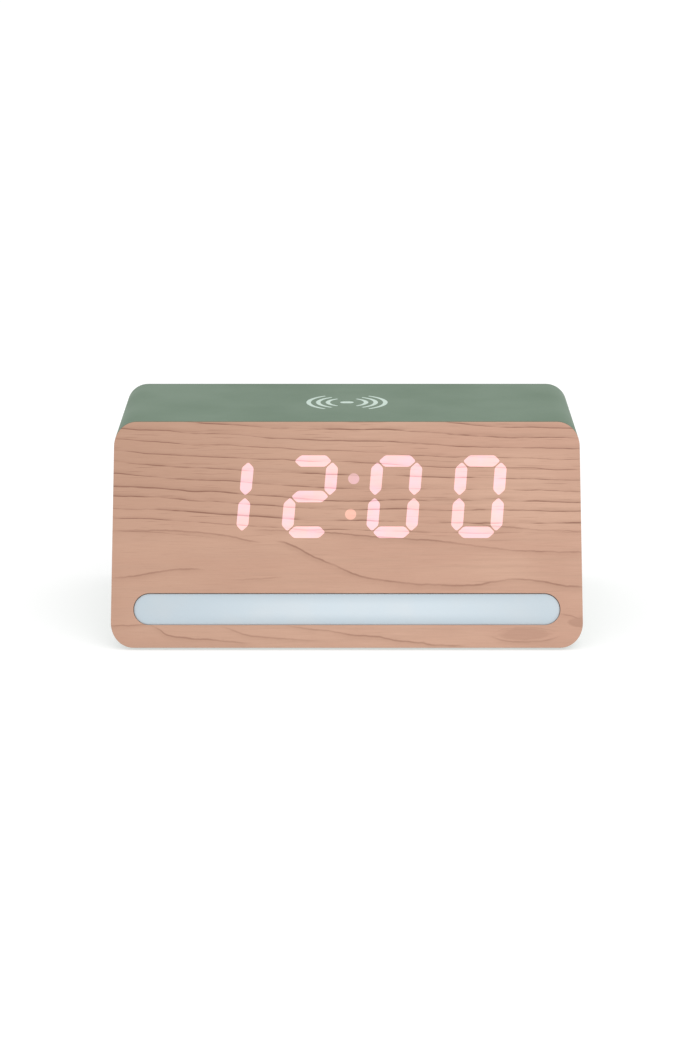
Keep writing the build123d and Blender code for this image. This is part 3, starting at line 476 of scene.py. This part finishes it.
# %% Materials: mouldings, rubber and ink
case_plastic = moulded_material("case_plastic", srgb(103, 125, 105), srgb(100, 121, 102),
                                gloss=(0.5, 0.6), shine=0.2)
cover_plastic = moulded_material("cover_plastic", srgb(105, 124, 107), srgb(100, 119, 103),
                                 gloss=(0.5, 0.65), shine=0.25)
button_plastic = moulded_material("button_plastic", srgb(192, 201, 190), srgb(184, 194, 183),
                                  2200.0, (0.3, 0.42))
mark_ink = moulded_material("mark_ink", srgb(190, 210, 198), srgb(181, 202, 189), 2600.0, (0.4, 0.5))
foot_rubber = moulded_material("foot_rubber", srgb(38, 38, 39), srgb(30, 30, 31), 1800.0, (0.75, 0.9))
black_plastic = moulded_material("black_plastic", srgb(34, 34, 36), srgb(27, 27, 29), 1600.0, (0.5, 0.7))
white_plastic = moulded_material("white_plastic", srgb(236, 236, 232), srgb(226, 226, 222),
                                 1600.0, (0.4, 0.55))
nylon = moulded_material("nylon", srgb(226, 222, 208), srgb(214, 210, 195), 2000.0, (0.35, 0.5))
frosted_film = moulded_material("frosted_film", srgb(232, 232, 234), srgb(222, 222, 226),
                                3000.0, (0.6, 0.75))
ferrite_grey = moulded_material("ferrite_grey", srgb(74, 74, 78), srgb(62, 62, 66), 2600.0, (0.7, 0.85))
red_insulation = moulded_material("red_insulation", srgb(168, 34, 30), srgb(150, 28, 26),
                                  900.0, (0.35, 0.5))
grey_insulation = moulded_material("grey_insulation", srgb(150, 152, 156), srgb(140, 142, 147),
                                   900.0, (0.4, 0.55))
lamp_warm = moulded_material("lamp_warm", srgb(240, 226, 150), srgb(232, 214, 130), 2600.0, (0.2, 0.3))
lamp_pink = moulded_material("lamp_pink", srgb(246, 214, 220), srgb(240, 202, 210), 2600.0, (0.2, 0.3))
print("plastic materials ready")

# %% [markdown]
# Metal needs another recipe. Screws, cans and springs are drawn or rolled, which leaves fine lines along
# the metal, and handling dulls it in patches: so one noise is stretched into lines and another, larger
# one shifts the colour. A circuit board is solder mask over copper, and a brick pattern far finer than
# real bricks makes a fair grid of tracks.

# %% Materials: metals and circuit boards
DRAWN_LINES = (40.0, 1800.0, 1800.0)
ROUGHNESS_SPREAD = 0.15


def metal_material(name, colour, worn, roughness):
    """A metal with fine drawn lines along one direction."""
    material, tree, shader, place = new_material(name)
    mapping = tree.nodes.new("ShaderNodeMapping")
    mapping.inputs["Scale"].default_value = DRAWN_LINES
    tree.links.new(place, mapping.inputs["Vector"])
    lines_noise = noise(tree, mapping.outputs[0], 1.0, 3.0, 0.6)
    patch = noise(tree, place, 220.0, 2.0)
    shade = blend_colours(tree, ramp(tree, patch, 0.35, 0.65, 0.0, 0.6), colour, worn)
    put(tree, shader.inputs["Base Color"], shade)
    put(tree, shader.inputs["Roughness"],
        ramp(tree, lines_noise, 0.3, 0.7, roughness, roughness + ROUGHNESS_SPREAD))
    shader.inputs["Metallic"].default_value = 1.0
    bump(tree, shader, lines_noise, 0.2, 0.02 * MM)
    return material


def board_material(name, mask_colour, track_colour):
    """A circuit board: solder mask over a faint grid of tracks."""
    material, tree, shader, place = new_material(name)
    tracks = tree.nodes.new("ShaderNodeTexBrick")
    tree.links.new(place, tracks.inputs["Vector"])
    tracks.inputs["Scale"].default_value = 180.0
    tracks.inputs["Mortar Size"].default_value = 0.03
    weave = noise(tree, place, 700.0, 2.0)
    track_share = ramp(tree, tracks.outputs["Fac"], 0.2, 0.8, 0.0, 0.5)
    shade = blend_colours(tree, track_share, mask_colour, track_colour)
    shade = blend_colours(tree, ramp(tree, weave, 0.4, 0.7, 0.0, 0.15), shade, track_colour)
    put(tree, shader.inputs["Base Color"], shade)
    put(tree, shader.inputs["Roughness"], ramp(tree, weave, 0.3, 0.7, 0.28, 0.4))
    bump(tree, shader, tracks.outputs["Fac"], 0.2, 0.03 * MM)
    return material


screw_steel = metal_material("screw_steel", srgb(176, 176, 180), srgb(150, 150, 155), 0.28)
nickel = metal_material("nickel", srgb(205, 204, 200), srgb(188, 186, 180), 0.2)
cell_steel = metal_material("cell_steel", srgb(212, 212, 214), srgb(196, 196, 200), 0.22)
copper = metal_material("copper", srgb(196, 112, 66), srgb(170, 92, 54), 0.3)
green_board = board_material("green_board", srgb(20, 84, 50), srgb(34, 110, 64))
white_board = board_material("white_board", srgb(226, 226, 220), srgb(206, 206, 198))
print("metal and board materials ready")

# %% [markdown]
# The light bar is milky plastic with small lamps behind it. It glows a little, more in its middle, where
# more lamps overlap. The glow is an emission colour that fades with the distance from the bar's brightest
# point and from its centre line, in the face's own millimetres.

# %% Material: the milky bar
GLOW_X = 8.0
GLOW_UP = 12.5
GLOW_EDGE = (0.03, 0.04, 0.045, 1)
GLOW_MIDDLE = (0.15, 0.16, 0.165, 1)


def milky_material():
    """Milky plastic, lit from behind."""
    material, tree, shader, place = new_material("milky_bar")
    where = face_millimetres(tree, place)
    axes = tree.nodes.new("ShaderNodeSeparateXYZ")
    tree.links.new(where, axes.inputs[0])
    from_middle = calc(tree, "ABSOLUTE", calc(tree, "SUBTRACT", axes.outputs["X"], GLOW_X))
    from_line = calc(tree, "ABSOLUTE", calc(tree, "SUBTRACT", axes.outputs["Y"], GLOW_UP))
    middle = calc(tree, "MULTIPLY", ramp(tree, from_middle, 10.0, 78.0, 1.0, 0.0),
                  ramp(tree, from_line, 1.0, 4.8, 1.0, 0.0))
    haze = noise(tree, where, 0.06, 2.0)
    body = blend_colours(tree, ramp(tree, haze, 0.4, 0.7), srgb(180, 192, 200), srgb(184, 193, 199))
    put(tree, shader.inputs["Base Color"], body)
    put(tree, shader.inputs["Roughness"], ramp(tree, haze, 0.3, 0.7, 0.32, 0.42))
    put(tree, shader.inputs["Emission Color"], blend_colours(tree, middle, GLOW_EDGE, GLOW_MIDDLE))
    shader.inputs["Emission Strength"].default_value = 1.0
    bump(tree, shader, noise(tree, where, 9.0, 1.0), 0.05, 0.02 * MM)
    return material


milky_bar = milky_material()
print("milky bar material ready")

# %% [markdown]
# ## Helpers for pieces
# Every new piece ends the same way: its bmesh becomes an object at the origin, smooth where the surface
# is round and sharp at real edges, riding on a body of the frame and standing for the CAD node that it
# replaces. Where a large flat meets a small round, a weighted normal modifier lets the flat decide the
# shading.

# %% Helpers for pieces
TOUCHING = 0.000001


def make_piece(name, bm, body, materials, stands_for=(), sharp=35.0, flat_first=False):
    """Turns a bmesh into a finished piece that rides on a body and stands for CAD nodes."""
    mesh = bpy.data.meshes.new(name)
    bm.to_mesh(mesh)
    bm.free()
    mesh.shade_smooth()
    mesh.set_sharp_from_angle(angle=math.radians(sharp))
    for material in materials:
        mesh.materials.append(material)
    piece = bpy.data.objects.new(name, mesh)
    bpy.context.scene.collection.objects.link(piece)
    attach(piece, body)
    if stands_for:
        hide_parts(*stands_for)
    if flat_first:
        piece.modifiers.new("even_shading", "WEIGHTED_NORMAL").keep_sharp = True
    print(name, len(mesh.polygons), "faces")
    return piece


bodies = frame["record"]["behaviour"]["bodies"]
body_of_node = {node: body for body, members in bodies.items() for node in members}
slot_of_node = {entry["node"]: entry["material_slot"] for entry in frame["record"]["subparts"]}


def smoothed_copy(node, name, material, sharp=25.0):
    """A CAD node's own shape with its triangles merged, so that round faces can be shaded smoothly."""
    bm = bmesh.new()
    bm.from_mesh(nodes[node].data)
    bmesh.ops.remove_doubles(bm, verts=bm.verts, dist=TOUCHING)
    return make_piece(name, bm, body_of_node[node], [material], [node], sharp, True)


print("piece helpers ready")

# %% [markdown]
# ## The veneered face
# The wood is one thin sheet with the slot cut out. The digits are not holes: they are places where light
# comes through. Cutting their outlines into the sheet's front as faces of their own gives each lit
# segment a crisp edge and lets it take the lit material, while the sheet stays one piece. Each segment is
# a pointed bar: a circle of six sides whose two halves are drawn apart, sheared to the lean of the
# digits.

# %% Digits: sizes
DIGIT_WIDTH = 12.6 * MM
DIGIT_HALF = 11.8 * MM
DIGIT_PITCH = 27.1 * MM
SEGMENT = 3.8 * MM
TIP_GAP = 0.35 * MM
TIP_ROUND = 0.6 * MM
DIGIT_SLANT = math.tan(math.radians(4.8))
COLON_RADIUS = 1.8 * MM
COLON_HALF = 5.9 * MM
DISPLAY_X = (mask_low.x + mask_high.x) / 2
DISPLAY_UP = 49.45 * MM
LEFT, RIGHT = -DIGIT_WIDTH / 2, DIGIT_WIDTH / 2
SEGMENTS = {
    "top": ((LEFT, DIGIT_HALF), (RIGHT, DIGIT_HALF)),
    "middle": ((LEFT, 0), (RIGHT, 0)),
    "bottom": ((LEFT, -DIGIT_HALF), (RIGHT, -DIGIT_HALF)),
    "upper left": ((LEFT, 0), (LEFT, DIGIT_HALF)),
    "upper right": ((RIGHT, 0), (RIGHT, DIGIT_HALF)),
    "lower left": ((LEFT, -DIGIT_HALF), (LEFT, 0)),
    "lower right": ((RIGHT, -DIGIT_HALF), (RIGHT, 0)),
}
LIT = {
    "1": ("upper right", "lower right"),
    "2": ("top", "upper right", "middle", "lower left", "bottom"),
    "0": ("top", "upper left", "upper right", "lower left", "lower right", "bottom"),
}
SHOWN = "1200"
print("time shown:", SHOWN[:2] + ":" + SHOWN[2:])


# %% Outlines of the lit places
HEXAGON_TURN = math.radians(30)
DOT_STEPS = 32


def lit_bar(bm, start, end, centre):
    """A flat pointed bar between two corners of a digit, leaning with the digit."""
    start, end = Vector(start).to_3d(), Vector(end).to_3d()
    length = (end - start).length - 2 * TIP_GAP
    verts = bmesh.ops.create_circle(bm, cap_ends=True, segments=6, radius=1.0)["verts"]
    bmesh.ops.scale(bm, vec=(SEGMENT / 2 / math.cos(HEXAGON_TURN), SEGMENT, 1), verts=verts)
    stretch = Vector((0, length / 2 - SEGMENT, 0))
    bmesh.ops.translate(bm, vec=stretch, verts=[vert for vert in verts if vert.co.y > 0])
    bmesh.ops.translate(bm, vec=-stretch, verts=[vert for vert in verts if vert.co.y < 0])
    turn = Vector((0, 1, 0)).rotation_difference(end - start).to_matrix()
    bmesh.ops.rotate(bm, cent=(0, 0, 0), matrix=turn, verts=verts)
    bmesh.ops.translate(bm, vec=(start + end) / 2, verts=verts)
    lean_digit = Matrix(((1, DIGIT_SLANT, 0, 0), (0, 1, 0, 0), (0, 0, 1, 0), (0, 0, 0, 1)))
    bmesh.ops.transform(bm, matrix=lean_digit, verts=verts, space=Matrix())
    bmesh.ops.translate(bm, vec=centre, verts=verts)
    bmesh.ops.bevel(bm, geom=verts, offset=TIP_ROUND, offset_type="OFFSET", affect="VERTICES", segments=3,
                    profile=0.5, material=-1)


def colon_dot(bm, up):
    """A flat round dot above or below the middle of the display."""
    middle = (DISPLAY_X + up * DIGIT_SLANT, DISPLAY_UP + up, 0)
    bmesh.ops.create_circle(bm, cap_ends=True, segments=DOT_STEPS, radius=COLON_RADIUS,
                            matrix=Matrix.Translation(middle))


def rounded_face(bm, width, height, radius, centre, segments=12):
    """A flat rounded rectangle, with its normal along Z."""
    verts = bmesh.ops.create_grid(bm, x_segments=1, y_segments=1, size=0.5)["verts"]
    bmesh.ops.scale(bm, vec=(width, height, 1), verts=verts)
    bmesh.ops.translate(bm, vec=centre, verts=verts)
    bmesh.ops.bevel(bm, geom=verts, offset=radius, offset_type="OFFSET", affect="VERTICES", segments=segments,
                    profile=0.5, material=-1)


print("outline helpers ready")

# %% [markdown]
# The sheet itself: the plate's outline and the slot are drawn as loops, the lit places as small faces,
# and `triangle_fill` fills what lies between them. The outline is the case's upright section seen on the
# slope, so it is drawn with round corners first and then stretched along `up`. One extrusion gives the
# sheet its thickness, and a hair-fine bevel breaks its front edges, as sanding does. Its first material,
# number 0, is the plain wood, and the lit places take the numbers named below.

# %% Veneer sheet with its lit places
CORNER = 7.2 * MM
VENEER = 0.6 * MM
SANDED = 0.12 * MM
LENS_FLANGE = 1.2 * MM
SLOT_WIDTH = lens_high.x - lens_low.x - 2 * LENS_FLANGE
SLOT_HEIGHT = 10.4 * MM
SLOT_CORNER = 5.1 * MM
SLOT_UP = 12.5 * MM
WOOD_LIT, WOOD_HIGH_DOT, WOOD_LOW_DOT = 1, 2, 3

sheet = bmesh.new()
rounded_face(sheet, CASE_WIDTH, CASE_HEIGHT, CORNER, (0, CASE_HEIGHT / 2, 0), 16)
bmesh.ops.scale(sheet, vec=(1, 1 / math.cos(FACE_LEAN), 1), verts=sheet.verts)
rounded_face(sheet, SLOT_WIDTH, SLOT_HEIGHT, SLOT_CORNER, (0, SLOT_UP, 0))
bmesh.ops.delete(sheet, geom=sheet.faces[:], context="FACES_ONLY")
for position, digit in enumerate(SHOWN):
    from_middle = position - (len(SHOWN) - 1) / 2
    digit_centre = Vector((DISPLAY_X + DIGIT_PITCH * from_middle, DISPLAY_UP, 0))
    for segment in LIT[digit]:
        lit_bar(sheet, *SEGMENTS[segment], digit_centre)
for face in sheet.faces:
    face.material_index = WOOD_LIT
for up_from_middle, wood_index in ((COLON_HALF, WOOD_HIGH_DOT), (-COLON_HALF, WOOD_LOW_DOT)):
    colon_dot(sheet, up_from_middle)
    sheet.faces.ensure_lookup_table()
    sheet.faces[-1].material_index = wood_index
lit_count = len(sheet.faces)
bmesh.ops.triangle_fill(sheet, use_beauty=True, use_dissolve=False, edges=sheet.edges[:], normal=(0, 0, 1))
print("lit places:", lit_count, "filled faces:", len(sheet.faces) - lit_count)

# %% Veneer thickness and edges
region = bmesh.ops.extrude_face_region(sheet, geom=sheet.faces[:], use_keep_orig=True)
back_verts = [item for item in region["geom"] if isinstance(item, bmesh.types.BMVert)]
bmesh.ops.translate(sheet, vec=(0, 0, -VENEER), verts=back_verts)
bmesh.ops.recalc_face_normals(sheet, faces=sheet.faces[:])
front_rim = [edge for edge in sheet.edges
             if all(vert.co.z > -VENEER / 2 for vert in edge.verts)
             and min(abs(face.normal.z) for face in edge.link_faces) < 0.5]
bmesh.ops.bevel(sheet, geom=front_rim, offset=SANDED, offset_type="OFFSET", affect="EDGES", segments=2,
                profile=0.5, material=-1)
bmesh.ops.transform(sheet, matrix=FACE_PLACE, verts=sheet.verts[:], space=Matrix())
make_piece("veneer_face", sheet, "case", [veneer_wood, lit_wood, dot_high_wood, dot_low_wood],
           ["front_veneer"])

# %% [markdown]
# ## The light bar
# The bar is one milky moulding: a flange behind the board, a straight wall through the slot, and a softly
# crowned front that just reaches the wood. It is made from the back forward. An outline is extruded to
# the flange, an inset steps in to the wall, and another extrusion carries the wall forward. Its ends are
# round, so the tiny flat left between two corner rounds is merged away first. A wide round bevel makes
# the crown too tall at first, and one scaling flattens it to its real height.

# %% Light bar
LENS_GAP = 0.12 * MM
FLANGE_FRONT = 3.0 * MM
FLANGE_BACK = 4.2 * MM
END_FLAT = 0.3 * MM
CROWN_REACH = 3.4 * MM
CROWN_HEIGHT = 0.6 * MM

bar = bmesh.new()
rounded_face(bar, SLOT_WIDTH + 2 * LENS_FLANGE, SLOT_HEIGHT + 2 * LENS_FLANGE, SLOT_CORNER + LENS_FLANGE,
             (0, SLOT_UP, -FLANGE_BACK), 10)
bmesh.ops.remove_doubles(bar, verts=bar.verts[:], dist=END_FLAT)


def raise_face(bm, face, rise):
    """Moves a face forward, out of the slope."""
    bmesh.ops.translate(bm, vec=(0, 0, rise), verts=face.verts[:])


bar.faces.ensure_lookup_table()
made = bmesh.ops.extrude_face_region(bar, geom=bar.faces[:])
front = next(item for item in made["geom"] if isinstance(item, bmesh.types.BMFace))
raise_face(bar, front, FLANGE_BACK - FLANGE_FRONT)
bmesh.ops.inset_region(bar, faces=[front], thickness=LENS_FLANGE + LENS_GAP, depth=0, use_even_offset=True)
front = bmesh.ops.extrude_discrete_faces(bar, faces=[front])["faces"][0]
raise_face(bar, front, FLANGE_FRONT - CROWN_HEIGHT + CROWN_REACH)
bmesh.ops.bevel(bar, geom=front.edges[:], offset=CROWN_REACH, offset_type="OFFSET", affect="EDGES",
                segments=12, profile=0.5, material=-1)
crown_verts = [vert for vert in bar.verts if vert.co.z > -CROWN_HEIGHT]
bmesh.ops.scale(bar, vec=(1, 1, CROWN_HEIGHT / CROWN_REACH), verts=crown_verts,
                space=Matrix.Translation((0, 0, CROWN_HEIGHT)))
bmesh.ops.recalc_face_normals(bar, faces=bar.faces[:])
bmesh.ops.transform(bar, matrix=FACE_PLACE, verts=bar.verts[:], space=Matrix())
make_piece("light_bar", bar, "case", [milky_bar], ["light_lens"], 50.0, True)

# %% [markdown]
# ## Case, cover, door and fittings
# These come straight from the mechanical model, whose shapes are right. A CAD mesh is loose triangles, so
# a copy of each is merged at its seams, shaded smooth where the surface is round, and kept sharp at real
# edges.

# %% Case, cover, door, mark, screws and socket
smoothed_copy("case_sleeve", "sleeve", case_plastic)
back_cover = smoothed_copy("rear_cover", "back_cover", cover_plastic)
smoothed_copy("battery_door", "twist_door", cover_plastic, 10.0)
smoothed_copy("charge_mark", "printed_mark", mark_ink)
smoothed_copy("cover_screws", "back_screws", screw_steel)
smoothed_copy("usb_shell", "usb_socket", nickel)

# %% [markdown]
# Above each button the cover has a small engraved sign filled with pale ink. The signs are part of the
# cover's shape, so the floor of each engraving is found by its depth and facing, and given the ink as a
# second material.

# %% Ink in the engraved signs
SIGN_DEPTH = 0.2 * MM
SIGN_SLACK = 0.05 * MM
FACING_BACK = 0.9
sign_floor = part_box("rear_cover")[1].y - SIGN_DEPTH
back_cover.data.materials.append(mark_ink)
inked = [face for face in back_cover.data.polygons
         if face.normal.y > FACING_BACK and abs(face.center.y - sign_floor) < SIGN_SLACK]
for face in inked:
    face.material_index = 1
print("inked faces:", len(inked))

# %% [markdown]
# ## Buttons
# A push button this small is turned from one profile: a shallow dish for the fingertip, a rounded rim, a
# flange that keeps it behind the cover and a stem that meets the switch. A spin about the button's own
# axis makes the whole cap, and one function makes all four from the boxes of their nodes.

# %% Turned pieces
def turned(profile, centre, axis, steps=64):
    """Spins a profile of (radius, height) points about an axis through centre; height 0 is at the centre."""
    bm = bmesh.new()
    sideways = Vector((1, 0, 0))
    verts = [bm.verts.new(centre + sideways * radius + axis * height) for radius, height in profile]
    edges = [bm.edges.new(pair) for pair in zip(verts, verts[1:])]
    bmesh.ops.spin(bm, geom=verts + edges, cent=centre, axis=axis, angle=2 * math.pi, steps=steps,
                   use_merge=True)
    bmesh.ops.remove_doubles(bm, verts=bm.verts, dist=2 * TOUCHING)
    bmesh.ops.recalc_face_normals(bm, faces=bm.faces[:])
    return bm


def rounded_corner(radius, height, size, steps=5):
    """Points of a quarter round from level to upright, ending on the given radius."""
    return [(radius - size + size * math.sin(turn), height - size + size * math.cos(turn))
            for turn in (math.pi / 2 * step / steps for step in range(steps + 1))]


print("turning helpers ready")

# %% Four buttons
CAP_RADIUS = 3.3 * MM
CAP_ROUND = 0.5 * MM
DISH_DEPTH = 0.55 * MM
DISH_RADIUS = 2.5 * MM
CAP_HEIGHT = 3.3 * MM
BUTTON_FLANGE = 0.8 * MM
BUTTON_FLANGE_RADIUS = 4.4 * MM
STEM_RADIUS = 1.5 * MM
DISH_STEPS = 6


def button_profile(length):
    """Radius and height from the middle of the dish, over the rim and down to the end of the stem."""
    dish = [(DISH_RADIUS * step / DISH_STEPS, -DISH_DEPTH * (1 - (step / DISH_STEPS) ** 2))
            for step in range(DISH_STEPS + 1)]
    rim = rounded_corner(CAP_RADIUS, 0.0, CAP_ROUND)
    flange = [(CAP_RADIUS, -CAP_HEIGHT), (BUTTON_FLANGE_RADIUS, -CAP_HEIGHT),
              (BUTTON_FLANGE_RADIUS, -CAP_HEIGHT - BUTTON_FLANGE)]
    stem = [(STEM_RADIUS, -CAP_HEIGHT - BUTTON_FLANGE), (STEM_RADIUS, -length), (0.0, -length)]
    return dish + rim + flange + stem


for name in ("set", "down", "up", "light"):
    low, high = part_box("button_" + name)
    crown = Vector(((low.x + high.x) / 2, high.y, (low.z + high.z) / 2))
    cap = turned(button_profile(high.y - low.y), crown, Vector((0, 1, 0)))
    make_piece("cap_" + name, cap, name + "_button", [button_plastic], ["button_" + name])

# %% [markdown]
# ## Feet
# Each foot is a soft disc pressed into a round recess. Its underside has a rounded rim and a shallow ring
# groove, which lets the rubber spread and grip. The four feet are one piece, because they are one part on
# the list.

# %% Four feet
FOOT_RADIUS = 5.5 * MM
FOOT_ROUND = 0.35 * MM
GROOVE_INNER = 2.6 * MM
GROOVE_OUTER = 3.6 * MM
GROOVE_DEPTH = 0.3 * MM
feet_low, feet_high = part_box("rubber_feet")
foot_x, foot_y = feet_high.x - FOOT_RADIUS, feet_high.y - FOOT_RADIUS
foot_height = feet_high.z - feet_low.z
grooved_sole = [(0.0, 0.0), (GROOVE_INNER, 0.0), (GROOVE_INNER + GROOVE_DEPTH, -GROOVE_DEPTH),
                (GROOVE_OUTER - GROOVE_DEPTH, -GROOVE_DEPTH), (GROOVE_OUTER, 0.0)]
foot_rim = rounded_corner(FOOT_RADIUS, 0.0, FOOT_ROUND)
foot_top = [(FOOT_RADIUS, -foot_height), (0.0, -foot_height)]
feet = turned(grooved_sole + foot_rim + foot_top, Vector((foot_x, foot_y, feet_low.z)),
              Vector((0, 0, -1)), 48)
for plane in ("X", "Y"):
    bmesh.ops.mirror(feet, geom=feet.verts[:] + feet.edges[:] + feet.faces[:], matrix=Matrix(),
                     merge_dist=-1, axis=plane)
bmesh.ops.recalc_face_normals(feet, faces=feet.faces[:])
make_piece("grip_feet", feet, "case", [foot_rubber], ["rubber_feet"])

# %% [markdown]
# ## The charging coil
# Under the top lies a flat coil of stranded copper wire, wound in one layer. A plain ring would hide what
# it is, so the winding is a curve: a loop lays its points along a spiral, and the curve's own bevel gives
# the wire its round section. It is then turned into a mesh, like every other piece.

# %% Charging coil
coil_low, coil_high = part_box("charging_coil")
coil_centre = (coil_low + coil_high) / 2
WIRE_RADIUS = (coil_high.z - coil_low.z) / 2
COIL_INNER = 10.0 * MM
COIL_OUTER = (coil_high.x - coil_low.x) / 2
TURNS = int((COIL_OUTER - COIL_INNER) / (2 * WIRE_RADIUS))
POINTS_A_TURN = 40
WIRE_FILL = 0.97
spiral = bpy.data.curves.new("winding", "CURVE")
spiral.dimensions = "3D"
spiral.bevel_depth = WIRE_RADIUS * WIRE_FILL
spiral.bevel_resolution = 3
spiral.use_fill_caps = True
wire = spiral.splines.new("POLY")
wire.points.add(TURNS * POINTS_A_TURN)
for index, wire_point in enumerate(wire.points):
    wound_share = index / (TURNS * POINTS_A_TURN)
    reach = COIL_INNER + WIRE_RADIUS + wound_share * (COIL_OUTER - COIL_INNER - 2 * WIRE_RADIUS)
    turn = 2 * math.pi * TURNS * wound_share
    wire_point.co = (coil_centre.x + reach * math.cos(turn), coil_centre.y + reach * math.sin(turn),
                     coil_centre.z, 1)
carrier = bpy.data.objects.new("winding", spiral)
wound = bmesh.new()
wound.from_mesh(bpy.data.meshes.new_from_object(carrier))
bmesh.ops.remove_doubles(wound, verts=wound.verts[:], dist=TOUCHING)
bpy.data.objects.remove(carrier)
make_piece("coil_winding", wound, "case", [copper], ["charging_coil"], 50.0)
print("coil of", TURNS, "turns of", round(2 * WIRE_RADIUS / MM, 2), "mm wire")

# %% [markdown]
# ## Finishes for the pieces inside
# Every other node is shown as a smoothed copy of its own shape, so that screws, wires and cans look
# round. The record names a finish for each node, so one table from finish to material dresses them all.

# %% Dress the pieces inside
FINISHES = {
    "black_abs": black_plastic,
    "white_abs": white_plastic,
    "diffuser_film": frosted_film,
    "circuit_green": green_board,
    "circuit_white": white_board,
    "led_warm": lamp_warm,
    "led_pink": lamp_pink,
    "chip_black": black_plastic,
    "switch_black": black_plastic,
    "buzzer_black": black_plastic,
    "header_white": nylon,
    "plug_white": nylon,
    "litz_wire": copper,
    "ferrite": ferrite_grey,
    "plated_steel": nickel,
    "screw_steel": screw_steel,
    "cell_steel": cell_steel,
    "cable_red": red_insulation,
    "cable_grey": grey_insulation,
    "plunger_plastic": white_plastic,
}
inner_names = [name for name, node in nodes.items() if not node.hide_render]
for name in inner_names:
    smoothed_copy(name, name + "_smooth", FINISHES[slot_of_node[name]])
print("smoothed and dressed", len(inner_names), "inner pieces")

# %% [markdown]
# ## Floor, light and camera
# The clock stands on a plain pale floor. The floor gives off a little light of its own, so that it stays
# nearly white and the clock's soft shadow on it stays faint.

# %% Floor
FLOOR_SIZE = 6.0
FLOOR_GLOW = 0.55
PAPER_DULL = (0.49, 0.49, 0.49, 1)
PAPER_PALE = (0.51, 0.51, 0.51, 1)
floor_mesh = bmesh.new()
bmesh.ops.create_grid(floor_mesh, x_segments=1, y_segments=1, size=FLOOR_SIZE)
floor_data = bpy.data.meshes.new("floor")
floor_mesh.to_mesh(floor_data)
floor_mesh.free()
floor = bpy.data.objects.new("floor", floor_data)
bpy.context.scene.collection.objects.link(floor)
paper, tree, shader, place = new_material("paper")
paper_noise = noise(tree, place, 3.0, 2.0)
put(tree, shader.inputs["Base Color"], blend_colours(tree, paper_noise, PAPER_DULL, PAPER_PALE))
shader.inputs["Roughness"].default_value = 0.9
shader.inputs["Specular IOR Level"].default_value = 0.1
shader.inputs["Emission Color"].default_value = (1, 1, 1, 1)
shader.inputs["Emission Strength"].default_value = FLOOR_GLOW
floor_data.materials.append(paper)
print("floor", 2 * FLOOR_SIZE, "m across")

# %% [markdown]
# The world is a plain white studio that lights the clock softly from all round. One large lamp above and
# to the front right adds to it, which gives the face and the top their different brightness. The Standard
# view shows the colours as they are set, without a film look.

# %% World and lamp
WORLD_STRENGTH = 1.0
LAMP_PLACE = Vector((0.6, -0.9, 1.2))
LAMP_TARGET = Vector((0, 0, 0.03))
LAMP_SIZE = 1.2
LAMP_POWER = 4.0

scene = bpy.context.scene
scene.view_settings.view_transform = "Standard"
scene.view_settings.look = "None"
world = bpy.data.worlds.new("studio")
world.use_nodes = True
background = world.node_tree.nodes["Background"]
background.inputs["Color"].default_value = (1, 1, 1, 1)
background.inputs["Strength"].default_value = WORLD_STRENGTH
scene.world = world

lamp_data = bpy.data.lights.new("key_lamp", "AREA")
lamp_data.size = LAMP_SIZE
lamp_data.energy = LAMP_POWER
key_lamp = bpy.data.objects.new("key_lamp", lamp_data)
key_lamp.location = LAMP_PLACE
key_lamp.rotation_euler = (LAMP_TARGET - LAMP_PLACE).to_track_quat("-Z", "Y").to_euler()
scene.collection.objects.link(key_lamp)
print("world and lamp ready")

# %% [markdown]
# The camera stands about a metre in front of the clock, a little above it, and looks slightly down. A
# long lens keeps the lines of the wedge nearly parallel.

# %% Camera
CAMERA_PLACE = (0.001, -1.066, 0.282)
CAMERA_PITCH = math.radians(76.65)
CAMERA_LENS = 113.9
CAMERA_SENSOR = 36.0
lens_data = bpy.data.cameras.new("camera")
lens_data.lens = CAMERA_LENS
lens_data.sensor_width = CAMERA_SENSOR
camera = bpy.data.objects.new("camera", lens_data)
camera.location = CAMERA_PLACE
camera.rotation_euler = (CAMERA_PITCH, 0, 0)
scene.collection.objects.link(camera)
scene.camera = camera
print("camera at", CAMERA_PLACE)
